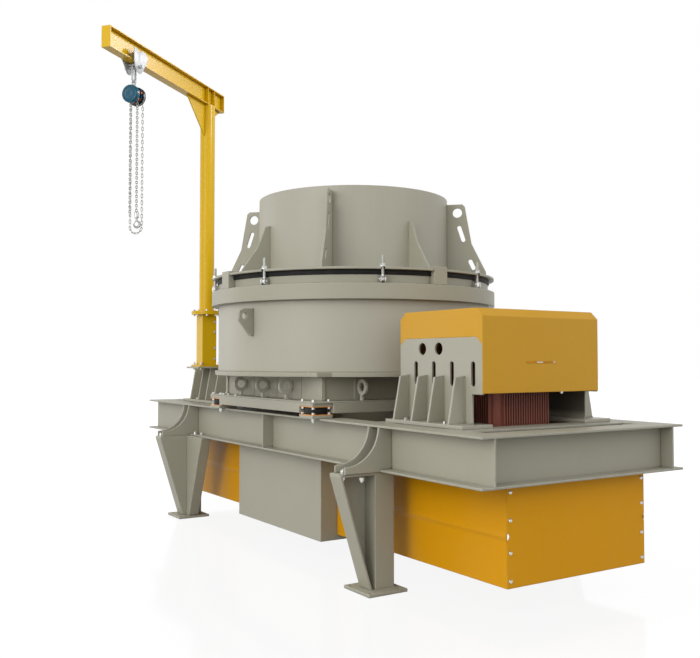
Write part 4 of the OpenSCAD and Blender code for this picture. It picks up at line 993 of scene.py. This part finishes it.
def makeFloor():
    # a flat disc of rings, fine near the middle
    r = np.concatenate([[0.01], np.linspace(1, 12, 12), [30, 60]])
    shape = turned(np.stack([r, 0 * r - 0.0015], 1), 72)
    mesh = bpy.data.meshes.new("floor")
    faces = shape["quads"][:, ::-1].tolist() + [shape["caps"][0][::-1]]
    mesh.from_pydata(shape["points"].tolist(), [], faces)
    floor = bpy.data.objects.new("floor", mesh)
    bpy.context.scene.collection.objects.link(floor)
    material, tree, shader = startFinish("studio_floor", Base_Color=(0.27, 0.27, 0.27, 1), Roughness=0.10, IOR=2.6)
    coords = addNode(tree, "ShaderNodeTexCoord").outputs["Object"]
    length = addNode(tree, "ShaderNodeVectorMath", operation="LENGTH")
    tree.links.new(coords, length.inputs[0])
    glow = tree.nodes.new("ShaderNodeEmission")
    glow.inputs["Strength"].default_value = 1.1
    rays = tree.nodes.new("ShaderNodeLightPath")
    seen = addMath(tree, "MAXIMUM", rays.outputs["Is Camera Ray"],
                   addMath(tree, "MAXIMUM", rays.outputs["Is Glossy Ray"], rays.outputs["Is Transmission Ray"]))
    share = addMath(tree, "MULTIPLY", seen, remap(tree, length.outputs["Value"], 3.0, 5.5, 0.82, 1.0))
    mix = tree.nodes.new("ShaderNodeMixShader")
    tree.links.new(share, mix.inputs[0])
    tree.links.new(shader.outputs[0], mix.inputs[1])
    tree.links.new(glow.outputs[0], mix.inputs[2])
    output = [n for n in tree.nodes if n.type == "OUTPUT_MATERIAL"][0]
    tree.links.new(mix.outputs[0], output.inputs[0])
    mesh.materials.append(material)
    return floor


def makeWorld(strength):
    world = bpy.data.worlds.new("studio")
    bpy.context.scene.world = world
    world.use_nodes = True
    tree = world.node_tree
    tree.nodes.clear()
    rays = tree.nodes.new("ShaderNodeLightPath")
    seen = addMath(tree, "MAXIMUM", rays.outputs["Is Camera Ray"],
                   addMath(tree, "MAXIMUM", rays.outputs["Is Glossy Ray"], rays.outputs["Is Transmission Ray"]))
    soft = addNode(tree, "ShaderNodeBackground", {"Color": (0.97, 0.98, 1.0, 1), "Strength": strength})
    # mirrored sky: white at the horizon and dimmer overhead, so upper faces keep their colour
    way = addNode(tree, "ShaderNodeSeparateXYZ")
    tree.links.new(addNode(tree, "ShaderNodeTexCoord").outputs["Generated"], way.inputs[0])
    overhead = remap(tree, way.outputs[2], 0.3, 0.6)
    dimmed = addMath(tree, "MULTIPLY", overhead, rays.outputs["Is Glossy Ray"])
    sky = mixColor(tree, dimmed, (1.0, 1.0, 1.0, 1.0), (0.30, 0.30, 0.30, 1.0))
    white = addNode(tree, "ShaderNodeBackground", {"Strength": 1.0})
    tree.links.new(sky, white.inputs["Color"])
    mix = tree.nodes.new("ShaderNodeMixShader")
    tree.links.new(seen, mix.inputs[0])
    tree.links.new(soft.outputs[0], mix.inputs[1])
    tree.links.new(white.outputs[0], mix.inputs[2])
    tree.links.new(mix.outputs[0], tree.nodes.new("ShaderNodeOutputWorld").inputs[0])


def hangLamp(data, place, target, soft):
    data.diffuse_factor = soft
    lamp = bpy.data.objects.new(data.name, data)
    lamp.location = place
    lamp.rotation_euler = (Vector(target) - Vector(place)).to_track_quat("-Z", "Y").to_euler()
    bpy.context.scene.collection.objects.link(lamp)


def addLamp(name, place, target, size, watts, color=(1, 1, 1), soft=1.0):
    data = bpy.data.lights.new(name, "AREA")
    data.shape, data.size, data.energy, data.color = "SQUARE", size, watts, color
    hangLamp(data, place, target, soft)


def addSpot(name, place, target, size, watts, cone, soft=1.0):
    # a round lamp that fades towards the rim of its cone
    data = bpy.data.lights.new(name, "SPOT")
    data.shadow_soft_size, data.energy = size / 2, watts
    data.spot_size, data.spot_blend = math.radians(cone), 1.0
    hangLamp(data, place, target, soft)


makeFloor()
makeWorld(1.10)
addLamp("key", (3.2, -9.2, 4.5), (0, 0, 1.5), 6.0, 370, (1.0, 0.995, 0.985))
addLamp("fill", (9.0, 2.5, 6.0), (0.5, 0, 1.8), 4.0, 30)
addLamp("sheen", (-8.6, -5.6, 3.0), (0.5, -0.5, 1.6), 4.0, 70, soft=0.0)
addSpot("boom sheen", (-1.0, 6.6, 7.4), (-0.35, -2.0, 4.15), 2.2, 900, 30, soft=0.0)
addSpot("boom fill", (3.2, 3.4, 6.0), (-1.1, -1.2, 4.1), 1.0, 560, 50)

cameraLook = {"place": (6.2971, -4.0923, 1.5118), "yaw": 147.1975, "pitch": 2.0421, "focal": 857.5, "frame": 700}
camera = bpy.data.objects.new("camera", bpy.data.cameras.new("camera"))
camera.data.sensor_width = 36
camera.data.lens = cameraLook["focal"] / cameraLook["frame"] * 36
camera.data.clip_end = 200
camera.location = cameraLook["place"]
yaw, pitch = math.radians(cameraLook["yaw"]), math.radians(cameraLook["pitch"])
gaze = Vector((math.cos(yaw) * math.cos(pitch), math.sin(yaw) * math.cos(pitch), math.sin(pitch)))
camera.rotation_euler = gaze.to_track_quat("-Z", "Y").to_euler()
bpy.context.scene.collection.objects.link(camera)
bpy.context.scene.camera = camera
bpy.context.scene.view_settings.view_transform = "Standard"
